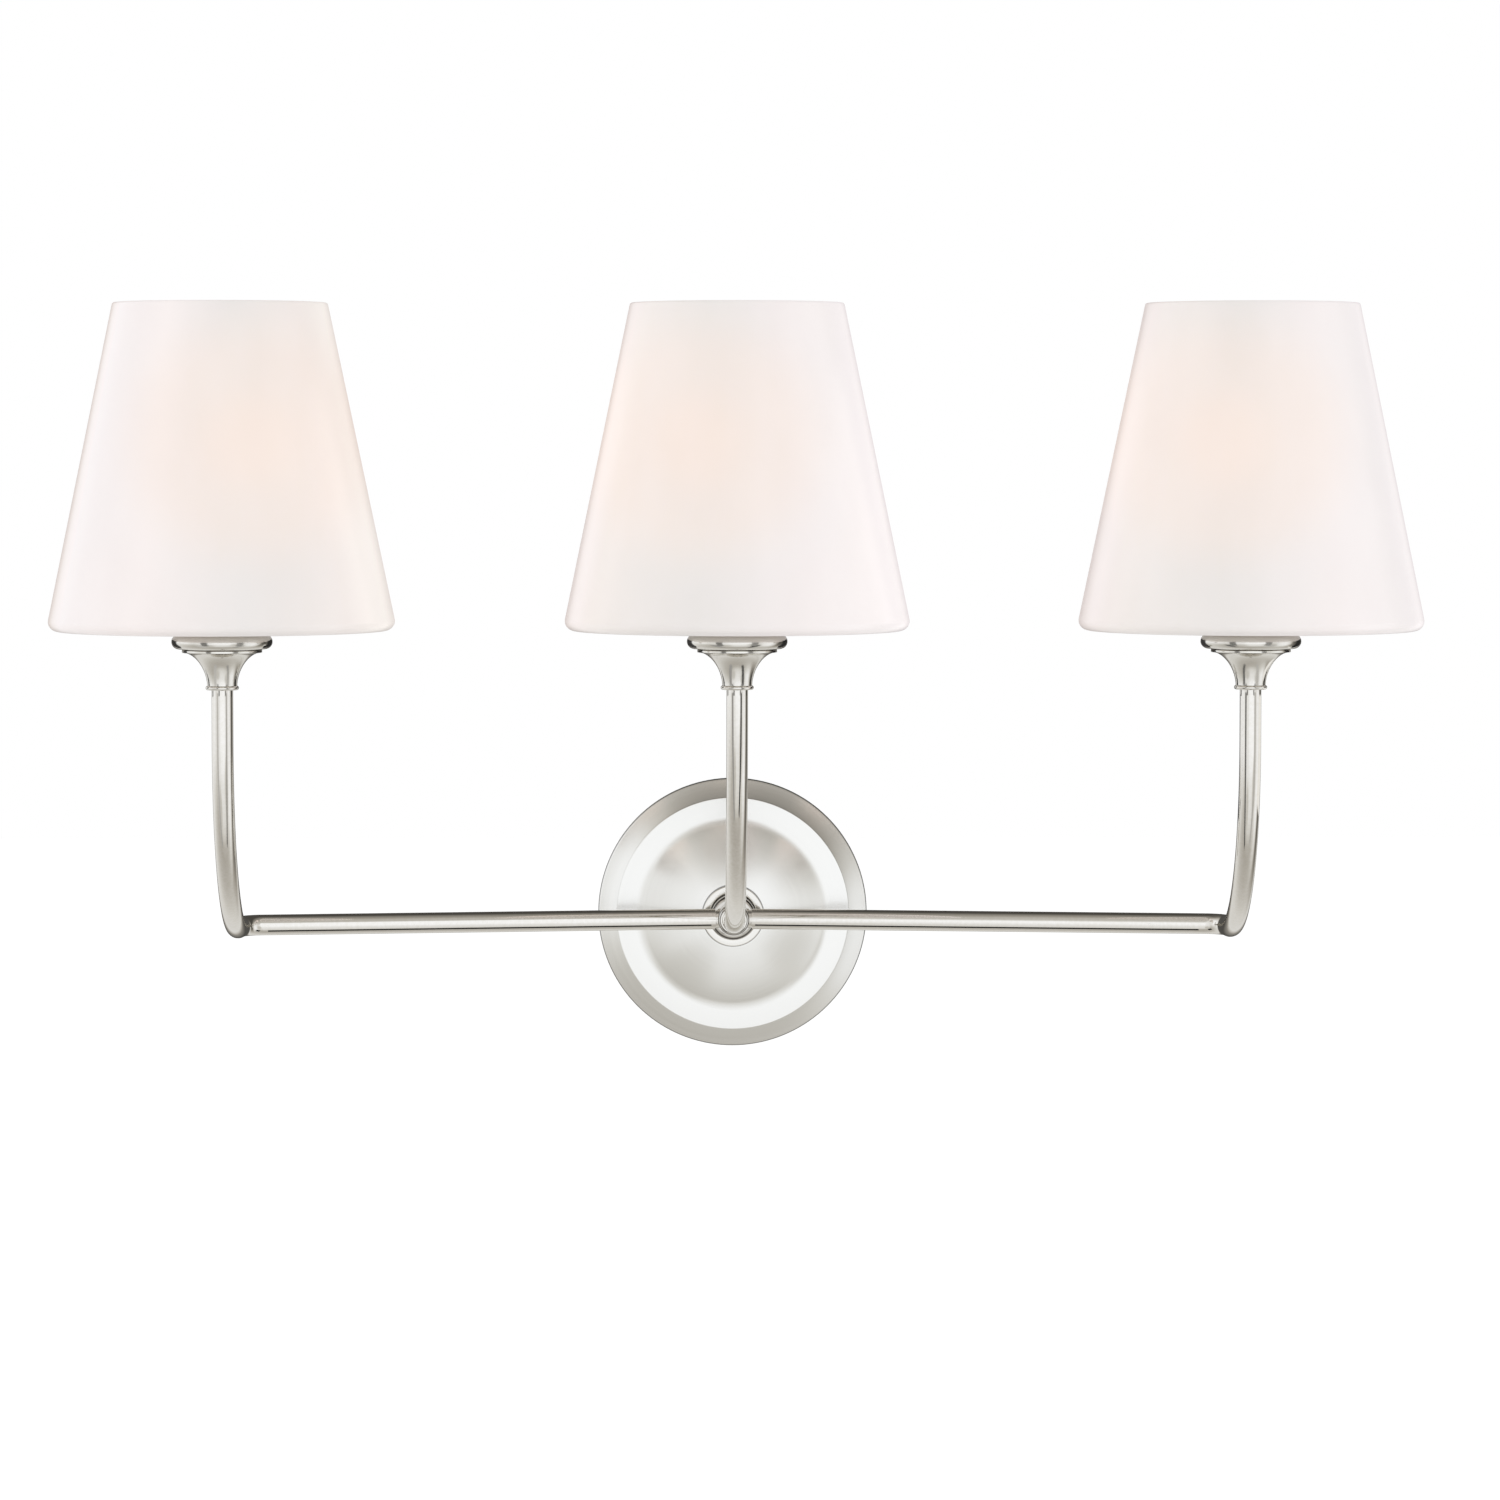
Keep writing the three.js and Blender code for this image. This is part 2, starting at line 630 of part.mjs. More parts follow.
function seatDisc() {
  const nose = DISC_HEIGHT / 2;
  const bore = LAMP_NIPPLE_R + FIT;
  return standing([
    at(bore, DISC_FOOT),
    ...arc(DISC_R - nose, DISC_FOOT + nose, nose, -90, 90, 4),
    at(bore, DISC_FOOT + DISC_HEIGHT),
  ], LAMP_SIDES);
}

// Threaded pipe from the tube's end through the cup and the disc into the lampholder's floor.
function lampNipple() {
  const low = CUP_SOCKET_DEPTH - PLUG_REACH;
  const high = HOLDER_FOOT + HOLDER_BLIND_BORE - GAP;
  return standing(ringOutline(LAMP_NIPPLE_BORE_R, LAMP_NIPPLE_R, low, high), FINE);
}

// Phenolic lampholder: a cup with a thick floor, bored from below for the nipple.
function holder() {
  const bore = LAMP_NIPPLE_R + FIT;
  const boreTop = HOLDER_FOOT + HOLDER_BLIND_BORE;
  const floor = HOLDER_FOOT + HOLDER_FLOOR;
  return standing([
    at(0, boreTop),
    at(bore, boreTop),
    at(bore, HOLDER_FOOT),
    at(HOLDER_R, HOLDER_FOOT),
    at(HOLDER_R, HOLDER_TOP),
    at(HOLDER_CAVITY_R, HOLDER_TOP),
    at(HOLDER_CAVITY_R, floor),
    at(0, floor),
  ], LAMP_SIDES);
}

// Brass screw shell inside the holder, with a hole in its floor round the contact.
function shell() {
  const outer = HOLDER_CAVITY_R - FIT;
  const inner = outer - SHELL_WALL;
  const top = HOLDER_TOP - SHELL_BELOW_MOUTH;
  return standing([
    at(SHELL_LIP, SHELL_FOOT),
    at(outer, SHELL_FOOT),
    at(outer, top),
    at(inner, top),
    at(inner, SHELL_FOOT + SHELL_WALL),
    at(SHELL_LIP, SHELL_FOOT + SHELL_WALL),
  ], LAMP_SIDES);
}

// Centre contact on the holder's floor.
function contact() {
  return standing([
    at(0, SHELL_FOOT),
    at(CONTACT_R, SHELL_FOOT),
    at(CONTACT_R - CONTACT_TAPER, CONTACT_TOP),
    at(0, CONTACT_TOP),
  ], CONTACT_SIDES);
}

// Ring nut that holds the shade's floor down on the seat disc.
function shadeNut() {
  const inner = HOLDER_R + FIT;
  const sleeveR = inner + SHADE_NUT_WALL;
  const lipTop = SHADE_NUT_FOOT + SHADE_NUT_LIP;
  const top = SHADE_NUT_FOOT + SHADE_NUT_HEIGHT;
  return standing([
    at(inner, SHADE_NUT_FOOT),
    at(SHADE_NUT_R, SHADE_NUT_FOOT),
    at(SHADE_NUT_R, lipTop),
    at(sleeveR, lipTop),
    at(sleeveR, top),
    at(inner, top),
  ], LAMP_SIDES);
}

// Opal glass shade: one blown body with a slightly dished floor round a flat seat, a rounded lower corner
// and a ground top rim.
function shade() {
  const foot = HOLDER_FOOT;
  const top = foot + SHADE_HEIGHT;
  const slope = Math.atan2(SHADE_BOTTOM_R - SHADE_TOP_R, SHADE_HEIGHT);
  const lean = THREE.MathUtils.radToDeg(slope);
  const across = SHADE_WALL / Math.cos(slope);
  const outR = SHADE_CORNER_R;
  const inR = SHADE_INNER_CORNER_R;
  // Radius at which the centre of a corner's round lies, where the side would meet the foot at radius r
  const roundAt = (r, height, round) => r - height * Math.tan(slope)
    - round * (1 / Math.cos(slope) + Math.tan(slope));
  const outFloor = SHADE_DISH;
  const inFloor = SHADE_DISH + SHADE_WALL;
  const outCorner = roundAt(SHADE_BOTTOM_R, outFloor, outR);
  const inCorner = roundAt(SHADE_BOTTOM_R - across, inFloor, inR);
  const holeR = HOLDER_R + FIT;
  const seatR = Math.max(SHADE_NUT_R, DISC_R) + SHADE_SEAT_MARGIN;
  return standing([
    at(holeR, foot),
    at(seatR, foot),
    ...arc(outCorner, foot + outFloor + outR, outR, -90, lean, 2),
    at(SHADE_TOP_R, top),
    at(SHADE_TOP_R - across, top),
    ...arc(inCorner, foot + inFloor + inR, inR, lean, -90, 1),
    at(seatR, foot + SHADE_WALL),
    at(holeR, foot + SHADE_WALL),
  ], SHADE_SIDES);
}

// Bulb cap: contact button, insulating cone, threaded sleeve, open at the top for the glass.
function bulbCap() {
  const threadFoot = BULB_FOOT + CAP_CONE_HEIGHT;
  const bore = CAP_R - CAP_WALL;
  return standing([
    at(0, BULB_FOOT),
    at(CAP_BUTTON_R, BULB_FOOT),
    at(CAP_R - CAP_EDGE, threadFoot - CAP_EDGE),
    at(CAP_R, threadFoot),
    at(CAP_R, CAP_TOP),
    at(bore, CAP_TOP),
    at(bore, threadFoot + CAP_WALL),
    at(0, threadFoot + CAP_WALL),
  ], LAMP_SIDES);
}

// The bulb's outline from the shoulder through the throat and round the globe, or its inside, which is
// inset by the wall.
function envelope(inset, throatSteps, globeSteps) {
  const globeR = BULB_R - inset;
  const centre = BULB_FOOT + BULB_LENGTH - BULB_R;
  const below = THREE.MathUtils.degToRad(GLOBE_BELOW);
  const meet = at(globeR * Math.cos(below), centre - globeR * Math.sin(below));
  const shoulder = at(BULB_SHOULDER_R - inset, CAP_TOP + BULB_SHOULDER_RISE);
  const throat = new THREE.CubicBezierCurve(shoulder,
    at(shoulder.x, shoulder.y + BULB_THROAT),
    at(meet.x - GLOBE_RUN_IN * Math.sin(below), meet.y - GLOBE_RUN_IN * Math.cos(below)),
    meet);
  return [...throat.getPoints(throatSteps), ...arc(0, centre, globeR, -GLOBE_BELOW, 90, globeSteps)];
}

// Bulb glass: a hollow envelope, open at the neck that sits in the cap.
function bulbGlass() {
  const neckFoot = CAP_TOP - BULB_NECK_IN_CAP;
  const neckTop = CAP_TOP + GAP;
  return standing([
    at(BULB_NECK_R, neckFoot),
    at(BULB_NECK_R, neckTop),
    ...envelope(0, 3, 4),
    ...envelope(BULB_WALL, 2, 2).reverse(),
    at(BULB_NECK_R - BULB_WALL, neckTop),
    at(BULB_NECK_R - BULB_WALL, neckFoot),
  ], LAMP_SIDES);
}

function lamp(label, side) {
  const group = new THREE.Group();
  group.position.set(side * LAMP_PITCH, -LAMP_OUT, CUP_FOOT);
  group.add(
    piece(`cup_${label}`, cup(), nickel()),
    piece(`seat_disc_${label}`, seatDisc(), nickel()),
    piece(`lamp_nipple_${label}`, lampNipple(), brass()),
    piece(`lampholder_${label}`, holder(), phenolic()),
    piece(`screw_shell_${label}`, shell(), brass()),
    piece(`contact_${label}`, contact(), brass()),
    piece(`shade_nut_${label}`, shadeNut(), nickel()),
    piece(`shade_${label}`, shade(), opal()),
    piece(`bulb_cap_${label}`, bulbCap(), brass()),
    piece(`bulb_glass_${label}`, bulbGlass(), frostedGlass()),
  );
  return group;
}

// ---- Leads --------------------------------------------------------------------------------------------

// Points of a lead from the splice, up the pan, through the port, along the post and into the hub. The
// three leads keep their places round a common middle: across is their offset in X, over the other one.
function trunkPoints(across, over) {
  const foot = -(SPLICE_DROP + SPLICE_GRIP);
  const bendR = LEAD_BEND_R;
  const points = [
    new THREE.Vector3(across, -TRUNK_OUT + over, foot),
    new THREE.Vector3(across, -TRUNK_OUT + over, (foot - bendR) / 2),
  ];
  for (let i = 0; i <= 3; i += 1) {
    const turn = (i / 3) * (Math.PI / 2);
    const reach = bendR + over;
    points.push(new THREE.Vector3(across, -TRUNK_OUT - bendR + reach * Math.cos(turn),
      -bendR + reach * Math.sin(turn)));
  }
  return points;
}

function lead(label, side) {
  const angle = side === 0 ? -Math.PI / 2 : Math.PI / 2 - side * (Math.PI / 3);
  const across = LEAD_SPREAD * Math.cos(angle);
  const over = LEAD_SPREAD * Math.sin(angle);
  const points = trunkPoints(across, over);
  const line = armLine(side);
  points.push(new THREE.Vector3(across, -(HUB_OUT - HUB_BACK), over));
  if (side === 0) {
    points.push(new THREE.Vector3(0, -(HUB_OUT + HUB_FRONT), over / 3));
  } else {
    const inHub = (reach, height) => sweptHeading(side).multiplyScalar(reach)
      .add(new THREE.Vector3(0, -HUB_OUT, height));
    points.push(new THREE.Vector3(across, -(HUB_OUT - LEAD_SPREAD), over));
    points.push(inHub(LEAD_SPREAD + LEAD_R, over / 2), inHub(HUB_R, 0));
  }
  for (let i = 1; i < line.steps; i += 1) points.push(line.getPoint(i / line.steps));
  const end = line.tip.clone();
  end.z = CUP_FOOT + HOLDER_FOOT + HOLDER_BLIND_BORE - LEAD_END;
  points.push(line.tip.clone(), end);
  const curve = new THREE.CatmullRomCurve3(points, false, 'centripetal');
  curve.getUtoTmapping = (u) => u;
  return piece(`lead_${label}`, sweptTube(curve, points.length - 1, LEAD_R, 0, LEAD_SIDES), leadSleeve());
}

// Closed-end splice that joins the leads in the pan behind the backplate.
function splice() {
  const inner = SPLICE_R - SPLICE_WALL;
  const boreFoot = SPLICE_LENGTH - SPLICE_GRIP - CLEAR;
  const outline = [
    at(0, 0),
    at(SPLICE_R - SPLICE_EDGE, 0),
    at(SPLICE_R, SPLICE_EDGE),
    at(SPLICE_R, SPLICE_LENGTH),
    at(inner, SPLICE_LENGTH),
    at(inner, boreFoot),
    at(0, boreFoot),
  ];
  const cap = piece('splice_cap', standing(outline, FINE), phenolic());
  cap.position.set(0, -TRUNK_OUT, -SPLICE_DROP - SPLICE_LENGTH);
  return cap;
}

// ---- Assembly -----------------------------------------------------------------------------------------

const group = new THREE.Group();
group.add(backplate(), crossbar(), groundScrew(), nipple(), locknut(), post(), canopyRing(), hub(), collar());
for (const [label, side] of [['left', -1], ['middle', 0], ['right', 1]]) {
  group.add(arm(`arm_${label}`, side), lead(label, side), lamp(label, side));
}
group.add(splice());

export default group;
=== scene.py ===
import math

import bmesh
import bpy
from mathutils import Matrix, Vector


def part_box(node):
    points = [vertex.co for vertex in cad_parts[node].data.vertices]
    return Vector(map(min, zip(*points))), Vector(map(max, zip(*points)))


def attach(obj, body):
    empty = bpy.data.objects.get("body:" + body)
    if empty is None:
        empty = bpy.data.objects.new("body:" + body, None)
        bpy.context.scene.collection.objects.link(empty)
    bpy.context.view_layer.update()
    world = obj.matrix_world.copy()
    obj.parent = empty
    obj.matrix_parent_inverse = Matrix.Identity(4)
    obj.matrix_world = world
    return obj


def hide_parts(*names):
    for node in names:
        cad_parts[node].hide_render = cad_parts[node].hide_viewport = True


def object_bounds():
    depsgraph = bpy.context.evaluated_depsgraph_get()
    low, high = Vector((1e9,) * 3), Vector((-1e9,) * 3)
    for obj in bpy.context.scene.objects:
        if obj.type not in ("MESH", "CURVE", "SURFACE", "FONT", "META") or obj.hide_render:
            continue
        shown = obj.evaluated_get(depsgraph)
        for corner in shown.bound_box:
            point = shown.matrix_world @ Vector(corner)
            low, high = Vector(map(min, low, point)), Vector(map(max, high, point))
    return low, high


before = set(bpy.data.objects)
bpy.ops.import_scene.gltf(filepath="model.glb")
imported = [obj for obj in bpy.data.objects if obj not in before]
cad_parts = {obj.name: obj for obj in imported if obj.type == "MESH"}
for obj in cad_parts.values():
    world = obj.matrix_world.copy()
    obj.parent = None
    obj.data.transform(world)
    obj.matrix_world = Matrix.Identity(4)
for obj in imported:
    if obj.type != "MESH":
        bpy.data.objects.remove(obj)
cad_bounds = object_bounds()


def mm(length):
    return length / 1000


ORIGIN = Vector((0, 0, 0))
UP = Vector((0, 0, 1))
ROOM = Vector((0, -1, 0))
LAMPS = {"left": -1, "middle": 0, "right": 1}  # each with the side it stands on

# ---- Places taken from the frame ----


def middle(node):
    low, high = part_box(node)
    return (low + high) / 2


def top(node):
    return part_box(node)[1].z


def lamp_axis(label):
    """A point on the lamp's axis, at the height of the hub."""
    centre = middle(f"cup_{label}")
    return Vector((centre.x, centre.y, 0))


# ---- Camera ----

CAMERA_PLACE = Vector((-0.0325, -2.555, 0.2257))
CAMERA_AIM = Vector((0.0083, 0, 0.0766))
CAMERA_LENS = 130
CAMERA_REACH = 50


def pointed(name, data, place, aim):
    """A camera or a lamp at a place, turned towards another."""
    made = bpy.data.objects.new(name, data)
    made.location = place
    made.rotation_mode = "QUATERNION"
    made.rotation_quaternion = (aim - place).to_track_quat("-Z", "Y")
    bpy.context.scene.collection.objects.link(made)
    return made


def camera():
    data = bpy.data.cameras.new("camera")
    data.lens = CAMERA_LENS
    data.clip_end = CAMERA_REACH
    bpy.context.scene.camera = pointed("camera", data, CAMERA_PLACE, CAMERA_AIM)


# ---- Colours and nodes ----


def linear(hex_colour):
    """sRGB hex, such as "c8c3b8", to linear RGBA."""
    parts = [int(hex_colour[i:i + 2], 16) / 255 for i in (0, 2, 4)]
    return [p / 12.92 if p <= 0.04045 else ((p + 0.055) / 1.055) ** 2.4 for p in parts] + [1]


OF_COLOURS = {"data_type": "RGBA"}


def set_inputs(tree, node, **inputs):
    """Gives sockets their values. A socket goes by its name, with _ for a space, or by i and its number.
    A value that is another node's socket is linked, and a node stands for its first output in use."""
    for name, value in inputs.items():
        numbered = name[0] == "i" and name[1:].isdigit()
        socket = node.inputs[int(name[1:]) if numbered else name.replace("_", " ")]
        if isinstance(value, bpy.types.Node):
            value = next(output for output in value.outputs if output.enabled)
        if isinstance(value, bpy.types.NodeSocket):
            tree.links.new(value, socket)
        else:
            socket.default_value = value


def add(tree, kind, settings=None, stops=(), **inputs):
    """Adds a node with its settings, or the name of its operation, its inputs and, on a colour ramp, its
    stops, each a position with a grey or a hex colour."""
    node = tree.nodes.new(f"ShaderNode{kind}")
    if isinstance(settings, str):
        settings = {"operation": settings}
    for key, value in (settings or {}).items():
        setattr(node, key, value)
    for _ in stops[2:]:
        node.color_ramp.elements.new(0.5)
    if stops:
        for element, (position, colour) in zip(node.color_ramp.elements, stops):
            element.position = position
            element.color = linear(colour) if isinstance(colour, str) else [colour] * 3 + [1]
    set_inputs(tree, node, **inputs)
    return node


def emptied_tree(owner):
    """The node tree of a new material or world, without the nodes it starts with."""
    owner.use_nodes = True
    owner.node_tree.nodes.clear()
    return owner.node_tree


def material(name):
    made = bpy.data.materials.new(name)
    tree = emptied_tree(made)
    shader = add(tree, "BsdfPrincipled")
    add(tree, "OutputMaterial", Surface=shader)
    return made, tree, shader


def spread(low, high):
    """Stops that take a noise from one look to another over the middle of its range, where it keeps."""
    return [(0.3, low), (0.7, high)]


def clouds(tree, sizes, detail=2.0):
    """Noise on Object coordinates, whose clouds have a given size along each axis."""
    place = add(tree, "TexCoord").outputs["Object"]
    scaled = add(tree, "Mapping", Vector=place, Scale=[1 / size for size in sizes])
    return add(tree, "TexNoise", Vector=scaled, Scale=1.0, Detail=detail)


# ---- Meshes ----

MERGE = 1e-7
ROUND_FROM = math.radians(30)
ROUND_SHARE = 0.45  # of a side that the rounding of its corner may take up


def arc(r, h, radius, start, end, steps):
    """Points on a circular arc of an outline, between two angles in degrees."""
    angles = [math.radians(start + (end - start) * i / steps) for i in range(steps + 1)]
    return [(r + radius * math.cos(a), h + radius * math.sin(a)) for a in angles]


def curved(heads, steps):
    """Points on the curve from the first head to the last that makes for each of the others in turn."""
    last = len(heads) - 1
    points = []
    for i in range(steps + 1):
        t = i / steps
        pulls = [math.comb(last, k) * (1 - t) ** (last - k) * t ** k for k in range(last + 1)]
        points.append(tuple(sum(pull * head[k] for pull, head in zip(pulls, heads)) for k in (0, 1)))
    return points


def rounded(outline, radius, steps=3, closed=True):
    """The outline with its sharper corners rounded off, all but those on the axis."""
    made = []
    count = len(outline)
    for i, corner in enumerate(outline):
        if not closed and i in (0, count - 1):
            made.append(corner)
            continue
        here = Vector(corner)
        to_before = Vector(outline[i - 1]) - here
        to_after = Vector(outline[(i + 1) % count]) - here
        if math.pi - to_before.angle(to_after) < ROUND_FROM or here.x < MERGE:
            made.append(corner)
            continue
        reach = min(radius, to_before.length * ROUND_SHARE, to_after.length * ROUND_SHARE)
        start = here + to_before.normalized() * reach
        end = here + to_after.normalized() * reach
        made += curved((start, here, end), steps)
    return made


def cleaned(bm):
    bmesh.ops.remove_doubles(bm, verts=bm.verts, dist=MERGE)
    bmesh.ops.recalc_face_normals(bm, faces=bm.faces)
    return bm


def placed(name, bm):
    """An object at the origin, made of a bmesh."""
    mesh = bpy.data.meshes.new(name)
    bm.to_mesh(mesh)
    bm.free()
    made = bpy.data.objects.new(name, mesh)
    bpy.context.scene.collection.objects.link(made)
    return made


def finished(name, node, bm, finish, slot="satin_nickel", body="fixture", smooth=35):
    """Turns a bmesh into the piece that replaces a node: it rides on a body and has a material. The slot is
    not used.
    """
    piece = placed(name, cleaned(bm))
    mesh = piece.data
    mesh.polygons.foreach_set("use_smooth", [True] * len(mesh.polygons))
    mesh.set_sharp_from_angle(angle=math.radians(smooth))
    mesh.materials.append(finish)
    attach(piece, body)
    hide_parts(node)
    return piece


def combined(base, others):
    """The base mesh with other closed meshes joined to it or cut from it, each by its operation."""
    core = placed("blank", cleaned(base))
    blanks = [core]
    for bm, operation in others:
        blanks.append(placed("blank", cleaned(bm)))
        modifier = core.modifiers.new("cut", "BOOLEAN")
        modifier.operation = operation
        modifier.solver = "EXACT"
        modifier.object = blanks[-1]
    bpy.context.view_layer.update()
    result = bmesh.new()
    result.from_object(core, bpy.context.evaluated_depsgraph_get())
    for blank in blanks:
        mesh = blank.data
        bpy.data.objects.remove(blank)
        bpy.data.meshes.remove(mesh)
    return result


def turned(outline, origin, axis, sides=96):
    """A closed outline of (radius, height), turned about an axis through the origin."""
    bm = bmesh.new()
    sideways = Vector((1, 0, 0))
    verts = [bm.verts.new(origin + sideways * r + axis * h) for r, h in outline]
    edges = [bm.edges.new((verts[i - 1], verts[i])) for i in range(len(verts))]
    bmesh.ops.spin(bm, geom=verts + edges, cent=origin, axis=axis, angle=2 * math.pi, steps=sides,
                   use_merge=True)
    return bm


def aimed(place, heading):
    """The matrix that takes the origin to a place and +Z to a heading."""
    return Matrix.Translation(place) @ UP.rotation_difference(heading).to_matrix().to_4x4()


def start_tube(bm, centre, heading):
    """The ring-shaped end face of a tube."""
    rims = []
    place = aimed(centre, heading)
    for r in (TUBE_R, TUBE_BORE_R):
        made = bmesh.ops.create_circle(bm, segments=TUBE_SIDES, radius=r, matrix=place)["verts"]
        rims += list({e for v in made for e in v.link_edges})
    return bmesh.ops.bridge_loops(bm, edges=rims)["faces"]


def run_straight(bm, faces, heading, length):
    made = bmesh.ops.extrude_face_region(bm, geom=faces)["geom"]
    verts = [g for g in made if isinstance(g, bmesh.types.BMVert)]
    bmesh.ops.translate(bm, verts=verts, vec=heading * length)
    return [g for g in made if isinstance(g, bmesh.types.BMFace)]


def run_bend(bm, faces, tip, heading, towards, radius, angle, steps):
    """Bends the tube from its tip towards a direction square to its heading."""
    made = bmesh.ops.spin(bm, geom=faces, cent=tip + towards * radius, axis=heading.cross(towards),
                          angle=angle, steps=steps)["geom_last"]
    return [g for g in made if isinstance(g, bmesh.types.BMFace)]


# ---- Driving sizes of the pieces ----

# Arms
TUBE_R = mm(4.75)
TUBE_BORE_R = mm(3.75)
SWEEP = math.radians(7.5)  # the side arms lean this far into the room
PLAN_BEND_R = mm(11)
RISE_BEND_R = mm(89)
MIDDLE_RUN = mm(18)  # straight run of the middle arm, out from the hub's axis
TUBE_SIDES = 48
PLAN_BEND_STEPS = 14
RISE_BEND_STEPS = 40

# Hub, and where its neck ends
HUB_R = mm(7.4)
HUB_BACK = mm(5.1)
HUB_FRONT = mm(7)
HUB_BACK_ROUND = mm(1)
HUB_FRONT_ROUND = mm(2.2)
HUB_BORE_R = mm(3.7)
SPIGOT_R = mm(4.6)
SPIGOT_REACH = mm(8)
COLLAR_ROUND = mm(0.7)
NECK_R = mm(4.1)
NECK_REACH = mm(8.6)
PLUG_R = mm(3.35)
PLUG_REACH = mm(6)
WAY_R = mm(2.2)  # of the ways that are drilled for the leads
CUT_PAST = mm(1)  # a drilled way runs this far past the end of its spigot
SEAT_GAP = mm(0.3)
HUB_PAINTED_SHADE = ((mm(6.15), mm(6.4)), (mm(7), mm(7.2)))  # rings of painted shade, inner and outer radius

# Backplate
PLATE_WALL = mm(1.2)
BAND_FOOT = mm(2.64)  # where the band's inside turns down, in from the plate's edge
FLANGE_CORNER = mm(2.52)
RIM_LAND = mm(3.4)
RIM_EDGE = mm(1.2)
RIM_BREAK = mm(0.25)
BAND_WIDTH = mm(8.6)
BAND_RISE = mm(7)
BAND_HOLLOW = mm(0.25)
STEP_RISE = mm(1.3)
STEP_ROUND = mm(0.45)
RING_WIDTH = mm(11)
RING_BLEND = mm(2.4)
SEAT_R = mm(13.6)
SEAT_ROUND = mm(0.4)
HOLE_R = mm(10.9)
RING_ROUND = mm(0.5)
JOINT_R = mm(14.3)  # where the canopy ring's edge stands over the dome, and its ring of painted shade starts
RING_PAINTED_SHADE_WIDTH = mm(0.4)
RIM_ROLL = mm(0.7)  # rolled edge between the band and the upright edge
RIM_PAINTED_SHADE = mm(0.5)  # the rolled edge's outer part, painted dark as painted shade
PLATE_SIDES = 144

# Post
POST_R = mm(10.5)
POST_BORE_R = mm(5)
POST_SHOULDER = mm(2.4)
POST_BREAK = mm(0.3)
POST_SIDES = 72
# A ring of painted shade near the post's edge, inner and outer radius.
POST_PAINTED_SHADE = ((POST_R - mm(0.75), POST_R - mm(0.3)),)
PORT_HALF = mm(3.4)  # half the width of the leads' port

# Cup
BEAD_R = mm(7.3)
BEAD_HEIGHT = mm(1.9)
CUP_NECK_R = mm(6.6)
CUP_FLARE_R = mm(17)
CUP_FLARE_HEIGHT = mm(14.6)
FLARE_FULLNESS = 1.8
FLANGE_ROUND = mm(0.35)
SOCKET_R = mm(5.15)
SOCKET_DEPTH = mm(9)
NIPPLE_HOLE_R = mm(3.7)

# Shade
SHADE_WALL = mm(3)
SHADE_TOP_R = mm(47.1)
SHADE_BOTTOM_R = mm(77.3)  # a little inside the flats of the frame's shade
SHADE_DISH = mm(1.4)  # its floor climbs this much from the flat seat to the corner
SHADE_SEAT_MARGIN = mm(1.5)
SHADE_CORNER_R = mm(4.2)
SHADE_INNER_CORNER_R = mm(1.2)
RIM_ROUND = mm(1.1)
RIM_RUN = mm(4)  # the rim's own part of the outline starts this far below it
SHADE_HOLE_R = mm(16.6)
HOLE_ROUND = mm(0.4)
SHADE_SIDES = 144
GLOW_SHIFT = mm(18)  # of the glow off the axis: right on the left shade, else left
GLOW_HALF_WIDTH = mm(68)  # of the warm glow on the shade, in front of the bulb
GLOW_HALF_HEIGHT = mm(66)
FLOOR_FADE = mm(4)  # the holder and the disc keep the bulb's light off the floor
FLOOR_LEVEL = 0.5

# Ring nut and lampholder
NUT_SLEEVE_WALL = mm(2.4)
NUT_LIP = mm(2)
NUT_ROUND = mm(0.4)
HOLDER_FLOOR = mm(8)
HOLDER_BLIND_BORE = mm(5.2)
HOLDER_CLEAR = mm(0.4)  # between its cavity and the screw shell
HOLDER_ROUND = mm(0.6)

# Bulb
BULB_R = mm(30)
BULB_WALL = mm(1)
BULB_NECK_R = mm(11.8)
BULB_SHOULDER_R = mm(15)
BULB_SHOULDER_RISE = mm(3)
BULB_THROAT = mm(9)
GLOBE_BELOW = 25
GLOBE_RUN_IN = mm(12)
THREAD_PITCH = mm(3.63)  # seven turns to the inch
THREAD_DEPTH = mm(0.42)
THREAD_FOOT = mm(4.6)
THREAD_RUN_OUT = mm(1.5)  # of plain sleeve above the thread
THREAD_LEVELS = 44  # steps of the sleeve's height
CAP_WALL = mm(0.8)
CAP_SIDES = 72
BUTTON_R = mm(4.6)
BUTTON_RISE = mm(0.9)
INSULATOR_LEDGE = (mm(0.4), mm(0.1))
INSULATOR_INSET = mm(1.4)
INSULATOR_DROP = mm(1)  # its top lies this far below the thread's foot


def hub_place():
    """The crossing of the hub's axes, which lies HUB_FRONT behind the collar's seat."""
    collar_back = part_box("middle_collar")[1].y
    return Vector((0, collar_back + SEAT_GAP + HUB_FRONT, 0))


def swept_heading(side):
    return Vector((side * math.cos(SWEEP), -math.sin(SWEEP), 0))


# ---- Finishes ----
# Satin nickel is a warm grey mirror that brushing softens. A brush mark is about 0.03 mm wide, too fine to
# show, so the marks are drawn half a millimetre wide.

# Each nickel's roughness, and the colours of its marks.
PLATE_LOOK = (0.26, "e3e1db", "e6e4de")
SATIN_LOOK = (0.14, "dad6ce", "dedbd3")
